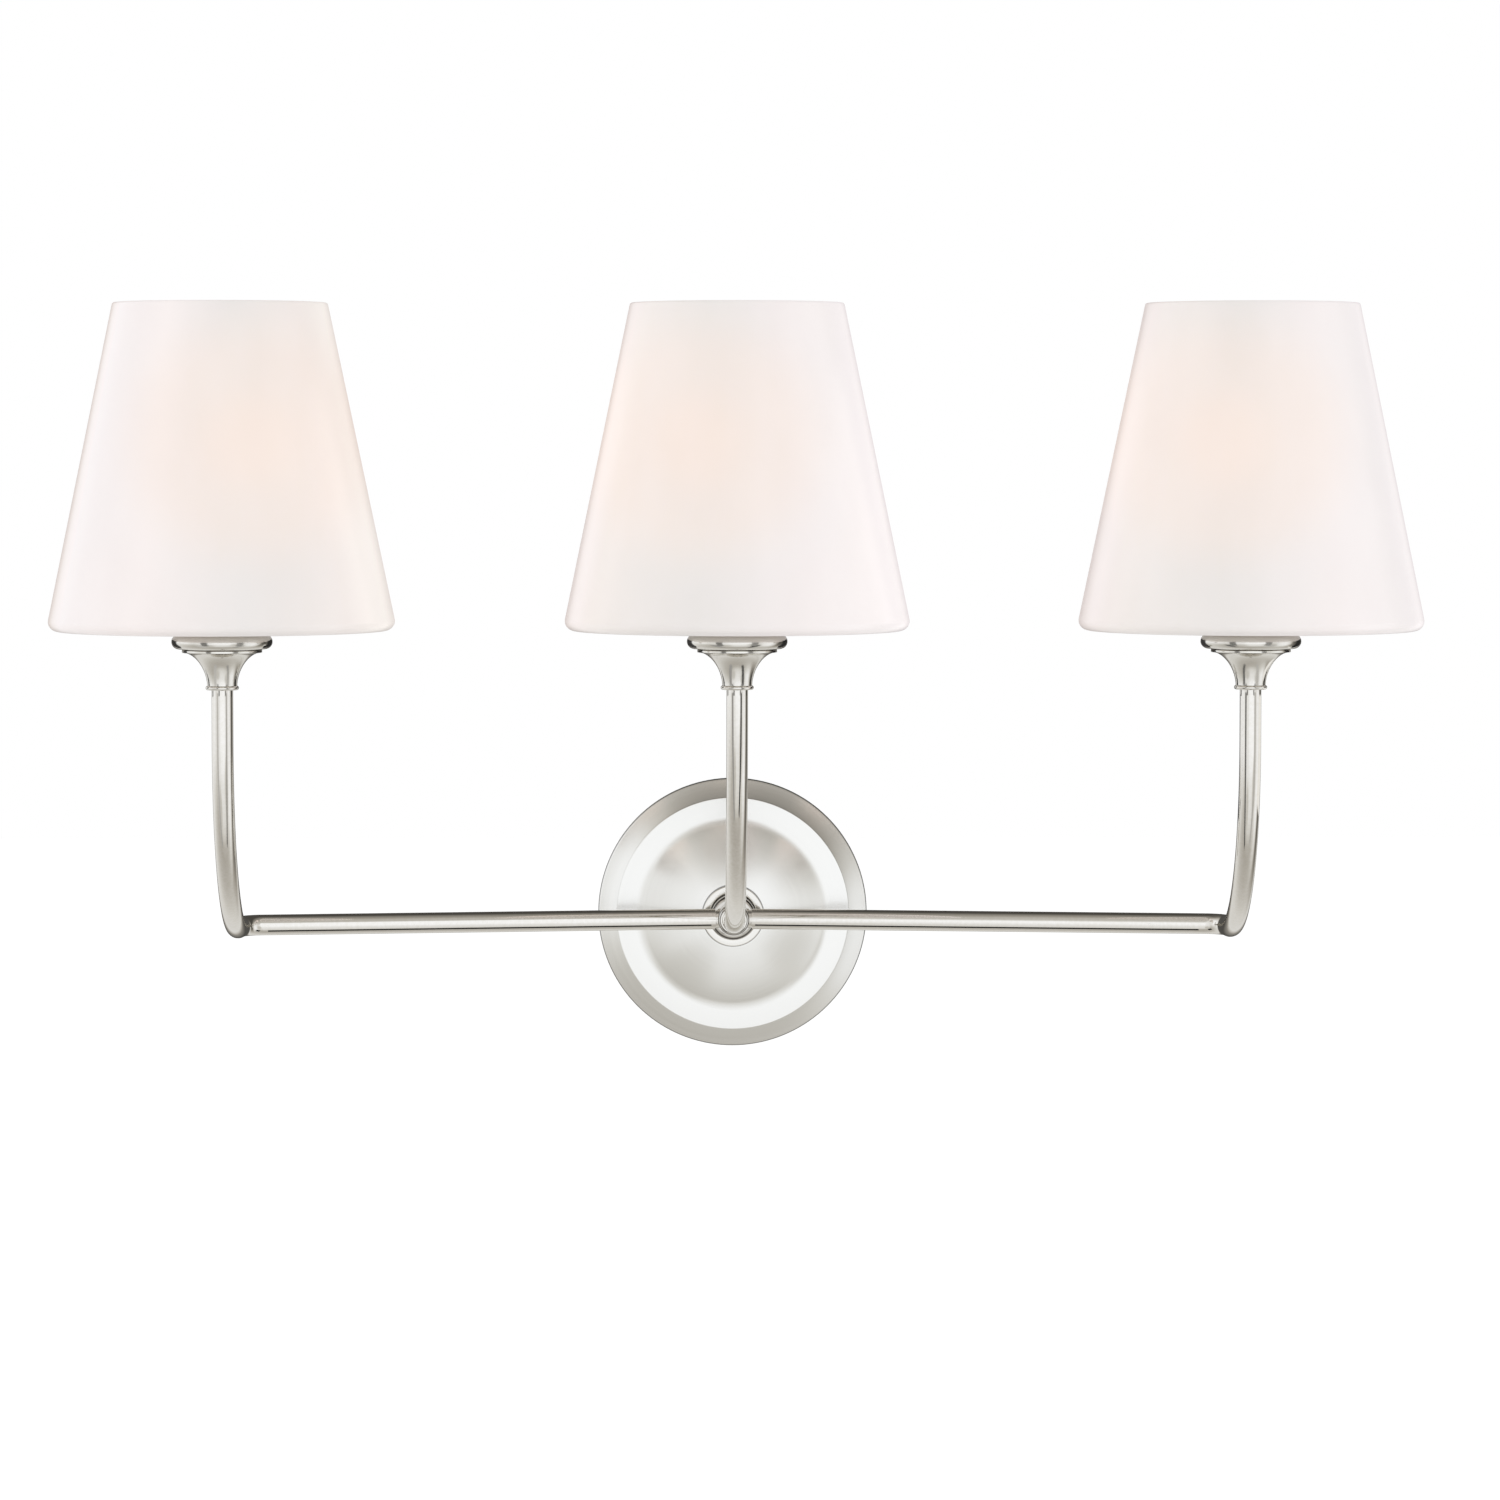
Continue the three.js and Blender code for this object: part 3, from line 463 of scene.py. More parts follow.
# The post's colours: the satin nickel's, painted darker as painted shade.
POST_PAINTED_SHADE_LOOK = (0.14, "c4c0b8", "cac6be")
HUB_LOOK = (0.1, "dad6ce", "dedbd3")
PLATE_ANISOTROPY = 0.75
BRUSH_RING = mm(0.5)
BRUSH_SWING = 0.7  # how much the marks change round the axis
BRUSH_DEPTH = mm(0.02)
BRUSH_STRENGTH = 0.006
PAINTED_SHADE_LEVEL = 0.13  # of the painted shade, as a share of the metal's own brightness
PAINTED_SHADE_EDGE = mm(0.06)
PAINTED_SHADE_SPAN = mm(100)  # radius at the end of the ramp that holds the rings of painted shade
TUBE_CLOUD = mm(1.43)  # of the polish on the tubes
MILK_CLOUDS = (mm(16.7), mm(16.7), mm(40))  # of the density of the glass
FROST_GRAIN = mm(0.4)
LUMP_STRENGTH = 0.3
# Emission strengths: the painted glow on the shade's outside and on its inside, and the bulb's own light.
SHADE_GLOW = 0.6
INSIDE_GLOW = 0.28
BULB_GLOW = 0.35
# The painted warm glow in front of the bulb, its fade, and the painted shade on the glass's floor.
WARM_GLOW = "dcbfad"
WARM_FADE = [(0.1, 1.0), (0.5, 0.6), (1.0, 0.0)]
GLASS_FLOOR_PAINTED_SHADE = "2c2725"


def satin_tube(name):
    """Drawn steel tube, polished and plated in satin nickel: soft mirror streaks along the tube."""
    made, tree, shader = material(name)
    polish = clouds(tree, [TUBE_CLOUD] * 3, detail=3.0)
    roughness = add(tree, "ValToRGB", stops=spread(0.035, 0.06), i0=polish)
    colour = add(tree, "ValToRGB", stops=spread("d9d5cc", "dfdbd4"), i0=polish)
    set_inputs(tree, shader, Base_Color=colour, Metallic=1.0, Roughness=roughness)
    return made


def turned_nickel(name, centre, axis, roughness, dark, light, anisotropy=0.0, joints=()):
    """Steel turned or spun on a lathe, brushed there and plated in nickel: fine rings round an axis, which
    draw each highlight out towards the axis and away from it. The painted shade rings, each an inner and
    outer radius, are painted dark in the base colour as the shade of a neighbour or under a rolled edge."""
    made, tree, shader = material(name)
    place = add(tree, "TexCoord").outputs["Object"]
    off_centre = add(tree, "VectorMath", "SUBTRACT", i0=place, i1=centre)
    across, along = ((1, 0, 1), (0, 1, 0)) if axis == "Y" else ((1, 1, 0), (0, 0, 1))
    flat = add(tree, "VectorMath", "MULTIPLY", i0=off_centre, i1=across)
    radius = add(tree, "VectorMath", "LENGTH", i0=flat)
    around = add(tree, "VectorMath", "NORMALIZE", i0=flat)
    upright = add(tree, "VectorMath", "MULTIPLY", i0=off_centre, i1=along)
    height = add(tree, "VectorMath", "LENGTH", i0=upright)
    depth = add(tree, "Math", "ADD", i0=radius, i1=height)
    ring = add(tree, "Math", "DIVIDE", i0=depth, i1=BRUSH_RING)
    lifted = add(tree, "CombineXYZ", i0=ring, i1=ring, i2=ring)
    swing = add(tree, "VectorMath", "SCALE", i0=around, Scale=BRUSH_SWING)
    brushed = add(tree, "VectorMath", "ADD", i0=lifted, i1=swing)
    marks = add(tree, "TexNoise", Vector=brushed, Scale=1.0, Detail=2.0, Roughness=0.5)
    colour = add(tree, "ValToRGB", stops=spread(dark, light), i0=marks)
    # Painted shade: each ring is darkened in the base colour where the shade of a neighbour or a rolled edge
    # falls.
    if joints:
        stops = [(0, 1.0)]
        for inner, outer in joints:
            stops += [((inner - PAINTED_SHADE_EDGE) / PAINTED_SHADE_SPAN, 1.0), (inner / PAINTED_SHADE_SPAN, PAINTED_SHADE_LEVEL),
                      (outer / PAINTED_SHADE_SPAN, PAINTED_SHADE_LEVEL), ((outer + PAINTED_SHADE_EDGE) / PAINTED_SHADE_SPAN, 1.0)]
        share = add(tree, "Math", "DIVIDE", i0=radius, i1=PAINTED_SHADE_SPAN)
        shadow = add(tree, "ValToRGB", stops=stops, i0=share)
        colour = add(tree, "Mix", {**OF_COLOURS, "blend_type": "MULTIPLY"}, i0=1.0, i6=colour, i7=shadow)
    rough = add(tree, "ValToRGB", stops=spread(roughness * 0.95, roughness * 1.05), i0=marks)
    bump = add(tree, "Bump", Strength=BRUSH_STRENGTH, Distance=BRUSH_DEPTH, Height=marks)
    set_inputs(tree, shader, Base_Color=colour, Metallic=1.0, Roughness=rough, Normal=bump)
    if anisotropy:
        tangent = add(tree, "Tangent", {"direction_type": "RADIAL", "axis": axis})
        set_inputs(tree, shader, Anisotropic=anisotropy, Anisotropic_Rotation=0.25, Tangent=tangent)
    return made


# The painted light that comes through the glass, as emission, by share of the way across a shade from
# its left edge to its right. The left sides of the middle and right shades get the painted warm light of
# the neighbour.
END_PAINTED_GLOW = ((0.02, "c1b0a9"), (0.06, "d2c7c7"), (0.3, "dbcdcb"), (0.6, "c2bbb8"), (0.88, "ccbfba"),
             (0.96, "dbd1ca"))
NEXT_PAINTED_GLOW = ((0.02, "c4b4b0"), (0.1, "ccc1bb"), (0.38, "c1bab6"), (0.7, "d4c8c8"), (0.9, "d7cecf"),
              (0.96, "dfd6d9"))


def opal_glass(name, foot, glow_place, rise, painted_glow_stops):
    """Blown opal glass, lit from inside: dense milk white, with the bulb's light painted into its emission as
    a painted warm glow in front of the bulb, painted cooler, brighter light towards the sides, where the wall
    is seen on edge, and painted shade at its floor."""
    made, tree, shader = material(name)
    place = add(tree, "TexCoord").outputs["Object"]
    offset = add(tree, "VectorMath", "SUBTRACT", i0=place, i1=glow_place)
    spot = add(tree, "VectorMath", "MULTIPLY", i0=offset,
               i1=(1 / GLOW_HALF_WIDTH, 0, 1 / GLOW_HALF_HEIGHT))
    from_spot = add(tree, "VectorMath", "LENGTH", i0=spot)
    near = add(tree, "ValToRGB", stops=WARM_FADE, i0=from_spot)
    near.color_ramp.interpolation = "EASE"
    from_foot = add(tree, "VectorMath", "SUBTRACT", i0=place, i1=foot)
    part = add(tree, "SeparateXYZ", i0=from_foot).outputs
    radius = add(tree, "MapRange", i0=part["Z"], i1=0, i2=rise, i3=SHADE_BOTTOM_R, i4=SHADE_TOP_R)
    share = add(tree, "Math", "DIVIDE", i0=part["X"], i1=radius)
    across = add(tree, "MapRange", i0=share, i1=-1, i2=1, i3=0, i4=1)
    cool = add(tree, "ValToRGB", stops=painted_glow_stops, i0=across)
    glow = add(tree, "Mix", OF_COLOURS, i0=near, i6=cool, i7=linear(WARM_GLOW))
    lit = add(tree, "MapRange", i0=part["Z"], i1=0, i2=FLOOR_FADE, i3=FLOOR_LEVEL, i4=1)
    glow = add(tree, "Mix", OF_COLOURS, i0=lit, i6=linear(GLASS_FLOOR_PAINTED_SHADE), i7=glow)
    milk = clouds(tree, MILK_CLOUDS)
    colour = add(tree, "ValToRGB", stops=spread("dfdedd", "e3e2e1"), i0=milk)
    set_inputs(tree, shader, Base_Color=colour, Roughness=0.25, IOR=1.5, Emission_Color=glow,
               Emission_Strength=SHADE_GLOW)
    return made


def opal_inside():
    """Inner face of the opal shade: the same milk white, painted a little darker and warmer than the outside
    as painted shade, because it is seen only by the light that goes round in the shade, and with a weaker
    painted glow."""
    made, tree, shader = material("lit_opal_glass_inside")
    milk = clouds(tree, MILK_CLOUDS)
    colour = add(tree, "ValToRGB", stops=spread("c5c0bb", "cac5c0"), i0=milk)
    set_inputs(tree, shader, Base_Color=colour, Roughness=0.35, IOR=1.5, Emission_Color=linear("fff6ec"),
               Emission_Strength=INSIDE_GLOW)
    return made


def frosted_glass():
    """Acid-frosted bulb glass with a lit filament behind it: soft warm white, no sharp reflection. Its
    grain is drawn coarser than the acid's, which is finer than can be seen."""
    made, tree, shader = material("frosted_glass")
    frost = clouds(tree, [FROST_GRAIN] * 3)
    roughness = add(tree, "ValToRGB", stops=spread(0.42, 0.55), i0=frost)
    set_inputs(tree, shader, Base_Color=linear("f6efe2"), Roughness=roughness, IOR=1.5,
               Emission_Color=linear("fff0d8"), Emission_Strength=BULB_GLOW)
    return made


def mottled(name, dark, light, rough_low, rough_high, grain, metallic=0.0, bump=0.0):
    """A finish whose colour and gloss wander a little over a grain of a given size."""
    made, tree, shader = material(name)
    spots = clouds(tree, [grain] * 3, detail=3.0)
    colour = add(tree, "ValToRGB", stops=spread(dark, light), i0=spots)
    roughness = add(tree, "ValToRGB", stops=spread(rough_low, rough_high), i0=spots)
    set_inputs(tree, shader, Base_Color=colour, Roughness=roughness, Metallic=metallic)
    if bump:
        lumps = add(tree, "Bump", Strength=LUMP_STRENGTH, Distance=bump, Height=spots)
        set_inputs(tree, shader, Normal=lumps)
    return made


# ---- Wall side ----


def backplate():
    """Spun plate: return flange, edge, sloping band, crisp step, flat ring, dome with a flat seat."""
    low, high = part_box("backplate")
    plate_r = high.x
    seat = -low.y
    band_r = plate_r - BAND_WIDTH
    band_end = (band_r, RIM_EDGE + BAND_RISE)
    ring_r = band_r - RING_WIDTH
    level = RIM_EDGE + BAND_RISE + STEP_RISE
    rise = seat - level
    dome_r = math.hypot((ring_r ** 2 - SEAT_R ** 2 - rise ** 2) / (2 * rise), ring_r)
    dome_centre = seat - math.sqrt(dome_r ** 2 - SEAT_R ** 2)
    blend_r = ring_r - RING_BLEND
    blend_end = (blend_r, dome_centre + math.sqrt(dome_r ** 2 - blend_r ** 2))
    slope = BAND_RISE / BAND_WIDTH
    lean = math.atan(slope)
    roll_end = (plate_r - RIM_ROLL, RIM_EDGE + RIM_ROLL * slope)
    hollow = ((roll_end[0] + band_end[0]) / 2 - 2 * BAND_HOLLOW * math.sin(lean),
              (roll_end[1] + band_end[1]) / 2 - 2 * BAND_HOLLOW * math.cos(lean))

    def angle(r):
        return math.degrees(math.acos(r / dome_r))

    outer = [(plate_r - RIM_LAND, 0), (plate_r - RIM_BREAK, 0), (plate_r, RIM_BREAK)]
    outer += curved(((plate_r, RIM_EDGE - RIM_ROLL / 2), (plate_r, RIM_EDGE), roll_end), 6)
    outer += curved((roll_end, hollow, band_end), 14)
    outer += arc(band_r - STEP_ROUND, level - STEP_ROUND, STEP_ROUND, 0, 90, 5)
    outer += curved(((ring_r + RING_BLEND, level), (ring_r, level), blend_end), 10)
    outer += arc(0, dome_centre, dome_r, angle(blend_r), angle(SEAT_R + SEAT_ROUND), 24)
    outer += [(SEAT_R, seat), (HOLE_R, seat)]
    wall = PLATE_WALL
    inner = [(HOLE_R, seat - wall), (SEAT_R, seat - wall)]
    inner += arc(0, dome_centre, dome_r - wall, angle(SEAT_R), angle(blend_r), 16)
    inner += curved(((ring_r + RING_BLEND, level - wall), (band_r - wall, level - wall),
                     (band_r - wall, level - STEP_RISE - wall)), 6)
    inner += curved(((plate_r - BAND_FOOT, RIM_EDGE + wall / 2), (plate_r - FLANGE_CORNER, wall),
                     (plate_r - RIM_LAND, wall)), 4)
    # Rings of painted shade: round the canopy ring's edge on the dome, and on the rolled edge.
    joints = [(JOINT_R, JOINT_R + RING_PAINTED_SHADE_WIDTH), (plate_r - RIM_PAINTED_SHADE, plate_r)]
    finish = turned_nickel("circular_brushed_nickel", ORIGIN, "Y", *PLATE_LOOK, PLATE_ANISOTROPY, joints)
    finished("canopy_plate", "backplate", turned(outer + inner, ORIGIN, ROOM, PLATE_SIDES), finish, smooth=28)


def plain_ring(name, node, centre, inner, round_r, steps, finish):
    """A ring round the line from the wall to the room, with rounded edges."""
    low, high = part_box(node)
    back, front = centre.y - high.y, centre.y - low.y
    outline = rounded([(inner, back), (high.x, back), (high.x, front), (inner, front)], round_r, steps)
    finished(name, node, turned(outline, centre, ROOM), finish)


def post(finish):
    """Turned post with a rounded shoulder, and a port below for the leads."""
    low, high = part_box("post")
    back, front = -high.y, -low.y
    outline = [(POST_BORE_R, back), (POST_R - POST_BREAK, back), (POST_R, back + POST_BREAK)]
    outline += arc(POST_R - POST_SHOULDER, front - POST_SHOULDER, POST_SHOULDER, 0, 90, 8)
    outline += [(POST_BORE_R, front)]
    place = Matrix.Translation((0, middle("splice_cap").y, -POST_R))
    size = Matrix.Diagonal((2 * PORT_HALF, 2 * PORT_HALF, 2 * POST_R, 1))
    port = bmesh.new()
    bmesh.ops.create_cube(port, size=1, matrix=place @ size)
    body = combined(turned(outline, ORIGIN, ROOM, POST_SIDES), [(port, "DIFFERENCE")])
    finished("canopy_post", "post", body, finish)


# ---- Hub and arms ----


def branch(side, radius, reach):
    """A round bar from the hub's centre towards a side arm."""
    bm = bmesh.new()
    heading = swept_heading(side)
    bmesh.ops.create_cone(bm, cap_ends=True, segments=TUBE_SIDES, radius1=radius, radius2=radius, depth=reach,
                          matrix=aimed(hub_place() + heading * reach / 2, heading))
    return bm


def hub(finish):
    """Cast hub: a rounded barrel with a neck and a spigot for each arm, bored for the leads."""
    centre = hub_place()
    back, front = -HUB_BACK - SPIGOT_REACH, HUB_FRONT + PLUG_REACH
    barrel = [(0, back), (SPIGOT_R, back), (SPIGOT_R, -HUB_BACK)]
    barrel += arc(HUB_R - HUB_BACK_ROUND, HUB_BACK_ROUND - HUB_BACK, HUB_BACK_ROUND, -90, 0, 5)
    barrel += arc(HUB_R - HUB_FRONT_ROUND, HUB_FRONT - HUB_FRONT_ROUND, HUB_FRONT_ROUND, 0, 90, 8)
    barrel += [(PLUG_R, HUB_FRONT), (PLUG_R, front), (0, front)]
    bore = [(0, back - CUT_PAST), (HUB_BORE_R, back - CUT_PAST), (HUB_BORE_R, HUB_BORE_R),
            (WAY_R, 2 * HUB_BORE_R - WAY_R), (WAY_R, front + CUT_PAST), (0, front + CUT_PAST)]
    others = [(branch(side, radius, reach), "UNION") for side in (-1, 1)
              for radius, reach in ((NECK_R, NECK_REACH), (PLUG_R, NECK_REACH + PLUG_REACH))]
    others.append((turned(bore, centre, ROOM, TUBE_SIDES), "DIFFERENCE"))
    for side in (-1, 1):
        others.append((branch(side, WAY_R, NECK_REACH + PLUG_REACH + CUT_PAST), "DIFFERENCE"))
    finished("hub_casting", "hub", combined(turned(barrel, centre, ROOM, POST_SIDES), others), finish)


def arm_tube(label, bm):
    tube = finished(f"arm_tube_{label}", f"arm_{label}", bm, satin_tube(f"satin_nickel_tube_{label}"))
    tube.visible_glossy = False  # the plate's brushing scatters the tubes' image until none is left


def side_arm(label):
    """Tube out to the side, through a tight bend into the room and a wide bend up to the cup."""
    lamp = lamp_axis(label)
    heading = swept_heading(LAMPS[label])
    into_room = (ROOM - heading * ROOM.dot(heading)).normalized()
    start = NECK_REACH + SEAT_GAP
    run = (abs(lamp.x) - PLAN_BEND_R * (1 - math.sin(SWEEP))) / math.cos(SWEEP) - start
    tip = hub_place() + heading * start
    bm = bmesh.new()
    faces = start_tube(bm, tip, heading)
    faces = run_straight(bm, faces, heading, run)
    faces = run_bend(bm, faces, tip + heading * run, heading, into_room, PLAN_BEND_R, math.pi / 2 - SWEEP,
                     PLAN_BEND_STEPS)
    tip = Vector((lamp.x, lamp.y + RISE_BEND_R, 0))
    faces = run_bend(bm, faces, tip, ROOM, UP, RISE_BEND_R, math.pi / 2, RISE_BEND_STEPS)
    run_straight(bm, faces, UP, top(f"arm_{label}") - RISE_BEND_R)
    arm_tube(label, bm)


def middle_arm():
    """Tube straight out into the room, and round one wide bend up to the cup."""
    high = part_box("arm_middle")[1]
    start = Vector((0, high.y, 0))
    bend_y = hub_place().y - MIDDLE_RUN
    bend_r = bend_y - lamp_axis("middle").y
    bm = bmesh.new()
    faces = start_tube(bm, start, ROOM)
    faces = run_straight(bm, faces, ROOM, high.y - bend_y)
    faces = run_bend(bm, faces, Vector((0, bend_y, 0)), ROOM, UP, bend_r, math.pi / 2, RISE_BEND_STEPS)
    run_straight(bm, faces, UP, high.z - bend_r)
    arm_tube("middle", bm)


# ---- Lamps ----


def lamp_part(part, label):
    """The place on the lamp's axis where a round part starts, its radius and its height."""
    low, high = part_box(f"{part}_{label}")
    return lamp_axis(label) + UP * low.z, (high.x - low.x) / 2, high.z - low.z


def lamp_piece(name, part, label, outline, finish, sides=96, **more):
    """Turns an outline about the lamp's axis into the piece for a lamp's round part."""
    bm = turned(outline, lamp_part(part, label)[0], UP, sides)
    return finished(f"{name}_{label}", f"{part}_{label}", bm, finish, **more)


def flare(neck_r, mouth_r, low, high, steps):
    """A flare that leaves the neck straight up and opens until it lies flat."""
    points = []
    for i in range(steps + 1):
        turn = i / steps * math.pi / 2
        inwards = math.cos(turn) ** (2 / FLARE_FULLNESS) if i < steps else 0
        upwards = math.sin(turn) ** (2 / FLARE_FULLNESS)
        points.append((mouth_r - (mouth_r - neck_r) * inwards, low + (high - low) * upwards))
    return points


def cup(label, finish):
    """Flared cup: a bead at its foot, a flare, a thin flange and a socket for the tube."""
    _, flange_r, height = lamp_part("cup", label)
    flare_top = BEAD_HEIGHT + CUP_FLARE_HEIGHT
    bead = BEAD_HEIGHT / 2
    edge_r = flange_r - FLANGE_ROUND
    outline = [(SOCKET_R, 0)] + arc(BEAD_R - bead, bead, bead, -90, 90, 10)
    outline += flare(CUP_NECK_R, CUP_FLARE_R, BEAD_HEIGHT, flare_top, 26)
    outline += arc(edge_r, flare_top + FLANGE_ROUND, FLANGE_ROUND, -60, 0, 3)
    outline += arc(edge_r, height - FLANGE_ROUND, FLANGE_ROUND, 0, 90, 4)
    outline += [(NIPPLE_HOLE_R, height), (NIPPLE_HOLE_R, SOCKET_DEPTH), (SOCKET_R, SOCKET_DEPTH)]
    lamp_piece("flared_cup", "cup", label, outline, finish)


def seat_disc(label, finish):
    _, radius, height = lamp_part("seat_disc", label)
    nose = height / 2
    outline = [(NIPPLE_HOLE_R, 0)] + arc(radius - nose, nose, nose, -90, 90, 16) + [(NIPPLE_HOLE_R, height)]
    lamp_piece("bullnose_disc", "seat_disc", label, outline, finish)


def shade(label, inside):
    """Tapered shade: dished floor round a flat seat, rounded corner, straight side, polished rim. The faces
    that look inwards have a material of their own, the glass painted darker as painted shade."""
    place, _, height = lamp_part("shade", label)
    seat_r = lamp_part("seat_disc", label)[1] + SHADE_SEAT_MARGIN
    slope = math.atan2(SHADE_BOTTOM_R - SHADE_TOP_R, height)
    lean = math.degrees(slope)
    across = SHADE_WALL / math.cos(slope)

    def corner(r, level, round_r, start, end, steps):
        centre_r = r - level * math.tan(slope) - round_r * (1 / math.cos(slope) + math.tan(slope))
        return arc(centre_r, level + round_r, round_r, start, end, steps)

    def side_at(r, drop):
        return (r + drop * math.tan(slope), height - drop)

    rim = [side_at(SHADE_TOP_R, RIM_RUN), side_at(SHADE_TOP_R, 0), side_at(SHADE_TOP_R - across, 0),
           side_at(SHADE_TOP_R - across, RIM_RUN)]
    mid_hole = (SHADE_HOLE_R, SHADE_WALL / 2)
    outline = rounded([mid_hole, (SHADE_HOLE_R, 0), (seat_r, 0)], HOLE_ROUND, closed=False)
    outline += corner(SHADE_BOTTOM_R, SHADE_DISH, SHADE_CORNER_R, -90, lean, 14)
    outline += rounded(rim, RIM_ROUND, 6, closed=False)
    outline += corner(SHADE_BOTTOM_R - across, SHADE_DISH + SHADE_WALL, SHADE_INNER_CORNER_R, lean, -90, 8)
    outline += rounded([(seat_r, SHADE_WALL), (SHADE_HOLE_R, SHADE_WALL), mid_hole], HOLE_ROUND, closed=False)
    painted_glow_stops, shift = (END_PAINTED_GLOW, GLOW_SHIFT) if label == "left" else (NEXT_PAINTED_GLOW, -GLOW_SHIFT)
    glow = lamp_axis(label) + Vector((shift, 0, top(f"bulb_glass_{label}") - BULB_R))
    outside = opal_glass(f"opal_glass_{label}", place, glow, height, painted_glow_stops)
    piece = lamp_piece("opal_shade", "shade", label, outline, outside, SHADE_SIDES, slot="opal_glass",
                       smooth=40)
    piece.data.materials.append(inside)
    heart = place + UP * height / 2
    for face in piece.data.polygons:
        if face.normal.dot(face.center - heart) < 0:
            face.material_index = 1


def shade_nut(label, finish):
    """Ring nut: a lip over the shade's floor and a sleeve."""
    _, radius, height = lamp_part("shade_nut", label)
    sleeve_r = SHADE_HOLE_R + NUT_SLEEVE_WALL
    outline = [(SHADE_HOLE_R, 0), (radius, 0), (radius, NUT_LIP), (sleeve_r, NUT_LIP), (sleeve_r, height),
               (SHADE_HOLE_R, height)]
    lamp_piece("shade_ring_nut", "shade_nut", label, rounded(outline, NUT_ROUND), finish)


def lampholder(label, finish):
    """Moulded body: a cavity for the screw shell above, a blind bore for the lamp nipple below."""
    _, radius, height = lamp_part("lampholder", label)
    cavity_r = lamp_part("screw_shell", label)[1] + HOLDER_CLEAR
    outline = [(0, HOLDER_BLIND_BORE), (NIPPLE_HOLE_R, HOLDER_BLIND_BORE), (NIPPLE_HOLE_R, 0), (radius, 0),
               (radius, height), (cavity_r, height), (cavity_r, HOLDER_FLOOR), (0, HOLDER_FLOOR)]
    outline = rounded(outline, HOLDER_ROUND)
    lamp_piece("lampholder_body", "lampholder", label, outline, finish, slot="phenolic")


def envelope(inset, shoulder, centre, throat_steps, globe_steps):
    """The bulb's outline from its shoulder round the globe, or its inside, inset by the wall."""
    globe_r = BULB_R - inset
    shoulder_r = BULB_SHOULDER_R - inset
    below = math.radians(GLOBE_BELOW)
    meet_r, meet = globe_r * math.cos(below), centre - globe_r * math.sin(below)
    heads = ((shoulder_r, shoulder), (shoulder_r, shoulder + BULB_THROAT),
             (meet_r - GLOBE_RUN_IN * math.sin(below), meet - GLOBE_RUN_IN * math.cos(below)), (meet_r, meet))
    return curved(heads, throat_steps)[:-1] + arc(0, centre, globe_r, -GLOBE_BELOW, 90, globe_steps)


def bulb_glass(label, finish):
    """Frosted globe on a throat, with a neck down inside the cap."""
    place, _, height = lamp_part("bulb_glass", label)
    cap_top = top(f"bulb_cap_{label}") - place.z
    neck_top = cap_top + SEAT_GAP
    shoulder = cap_top + BULB_SHOULDER_RISE
    outline = [(BULB_NECK_R, 0), (BULB_NECK_R, neck_top)]
    outline += envelope(0, shoulder, height - BULB_R, 14, 26)
    outline += envelope(BULB_WALL, shoulder, height - BULB_R, 10, 18)[::-1]
    outline += [(BULB_NECK_R - BULB_WALL, neck_top), (BULB_NECK_R - BULB_WALL, 0)]
    lamp_piece("bulb_envelope", "bulb_glass", label, outline, finish, slot="frosted_glass",
               body=f"bulb_{label}")


def bulb_cap(label, sleeve, insulator, solder):
    """Screw cap: solder contact, dark glass insulator and a rolled thread."""
    place, radius, height = lamp_part("bulb_cap", label)
    root_r = radius - THREAD_DEPTH
    thread_top = height - THREAD_RUN_OUT
    ledge_r, ledge_rise = BUTTON_R + INSULATOR_LEDGE[0], BUTTON_RISE + INSULATOR_LEDGE[1]
    insulator_top = THREAD_FOOT - INSULATOR_DROP
    outline = [(0, 0)] + arc(BUTTON_R - BUTTON_RISE, BUTTON_RISE, BUTTON_RISE, -90, 0, 4)
    outline += [(ledge_r, ledge_rise), (radius - INSULATOR_INSET, insulator_top)]
    for i in range(THREAD_LEVELS + 1):
        outline.append((root_r, THREAD_FOOT + (height - THREAD_FOOT) * i / THREAD_LEVELS))
    outline += [(root_r - CAP_WALL, height), (root_r - CAP_WALL, THREAD_FOOT + CAP_WALL),
                (0, THREAD_FOOT + CAP_WALL)]
    bm = turned(outline, place, UP, CAP_SIDES)
    for vert in bm.verts:
        arm = vert.co - place
        if arm.xy.length > root_r - CAP_WALL / 2 and THREAD_FOOT < arm.z < thread_top:
            turns = arm.z / THREAD_PITCH - math.atan2(arm.y, arm.x) / (2 * math.pi)
            fade = min(1, (arm.z - THREAD_FOOT) / THREAD_PITCH, (thread_top - arm.z) / THREAD_PITCH)
            arm.xy += arm.xy.normalized() * THREAD_DEPTH * fade * (0.5 + 0.5 * math.cos(2 * math.pi * turns))
            vert.co = place + arm
    piece = finished(f"screw_cap_{label}", f"bulb_cap_{label}", bm, sleeve, "nickel_cap", f"bulb_{label}")
    piece.data.materials.append(insulator)
    piece.data.materials.append(solder)
    for face in piece.data.polygons:
        level = face.center.z - place.z
        if level < BUTTON_RISE:
            face.material_index = 2
        elif level < insulator_top:
            face.material_index = 1


# ---- Hardware carried over from the frame ----

CAD_MERGE = 1e-6
FLAT = math.radians(1)
SHARP = math.radians(35)


def softened(name, node, finish, slot, bevel):
    """A merged copy of a CAD node with its sharp edges broken by a small bevel."""
    bm = bmesh.new()
    bm.from_mesh(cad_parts[node].data)
    bmesh.ops.remove_doubles(bm, verts=bm.verts, dist=CAD_MERGE)
    bmesh.ops.dissolve_limit(bm, angle_limit=FLAT, verts=bm.verts, edges=bm.edges)
    sharp = [e for e in bm.edges if len(e.link_faces) == 2 and e.calc_face_angle() > SHARP]
    bmesh.ops.bevel(bm, geom=sharp, affect="EDGES", offset=bevel, segments=2, profile=0.5, material=-1,
                    clamp_overlap=True)
    finished(name, node, bm, finish, slot)


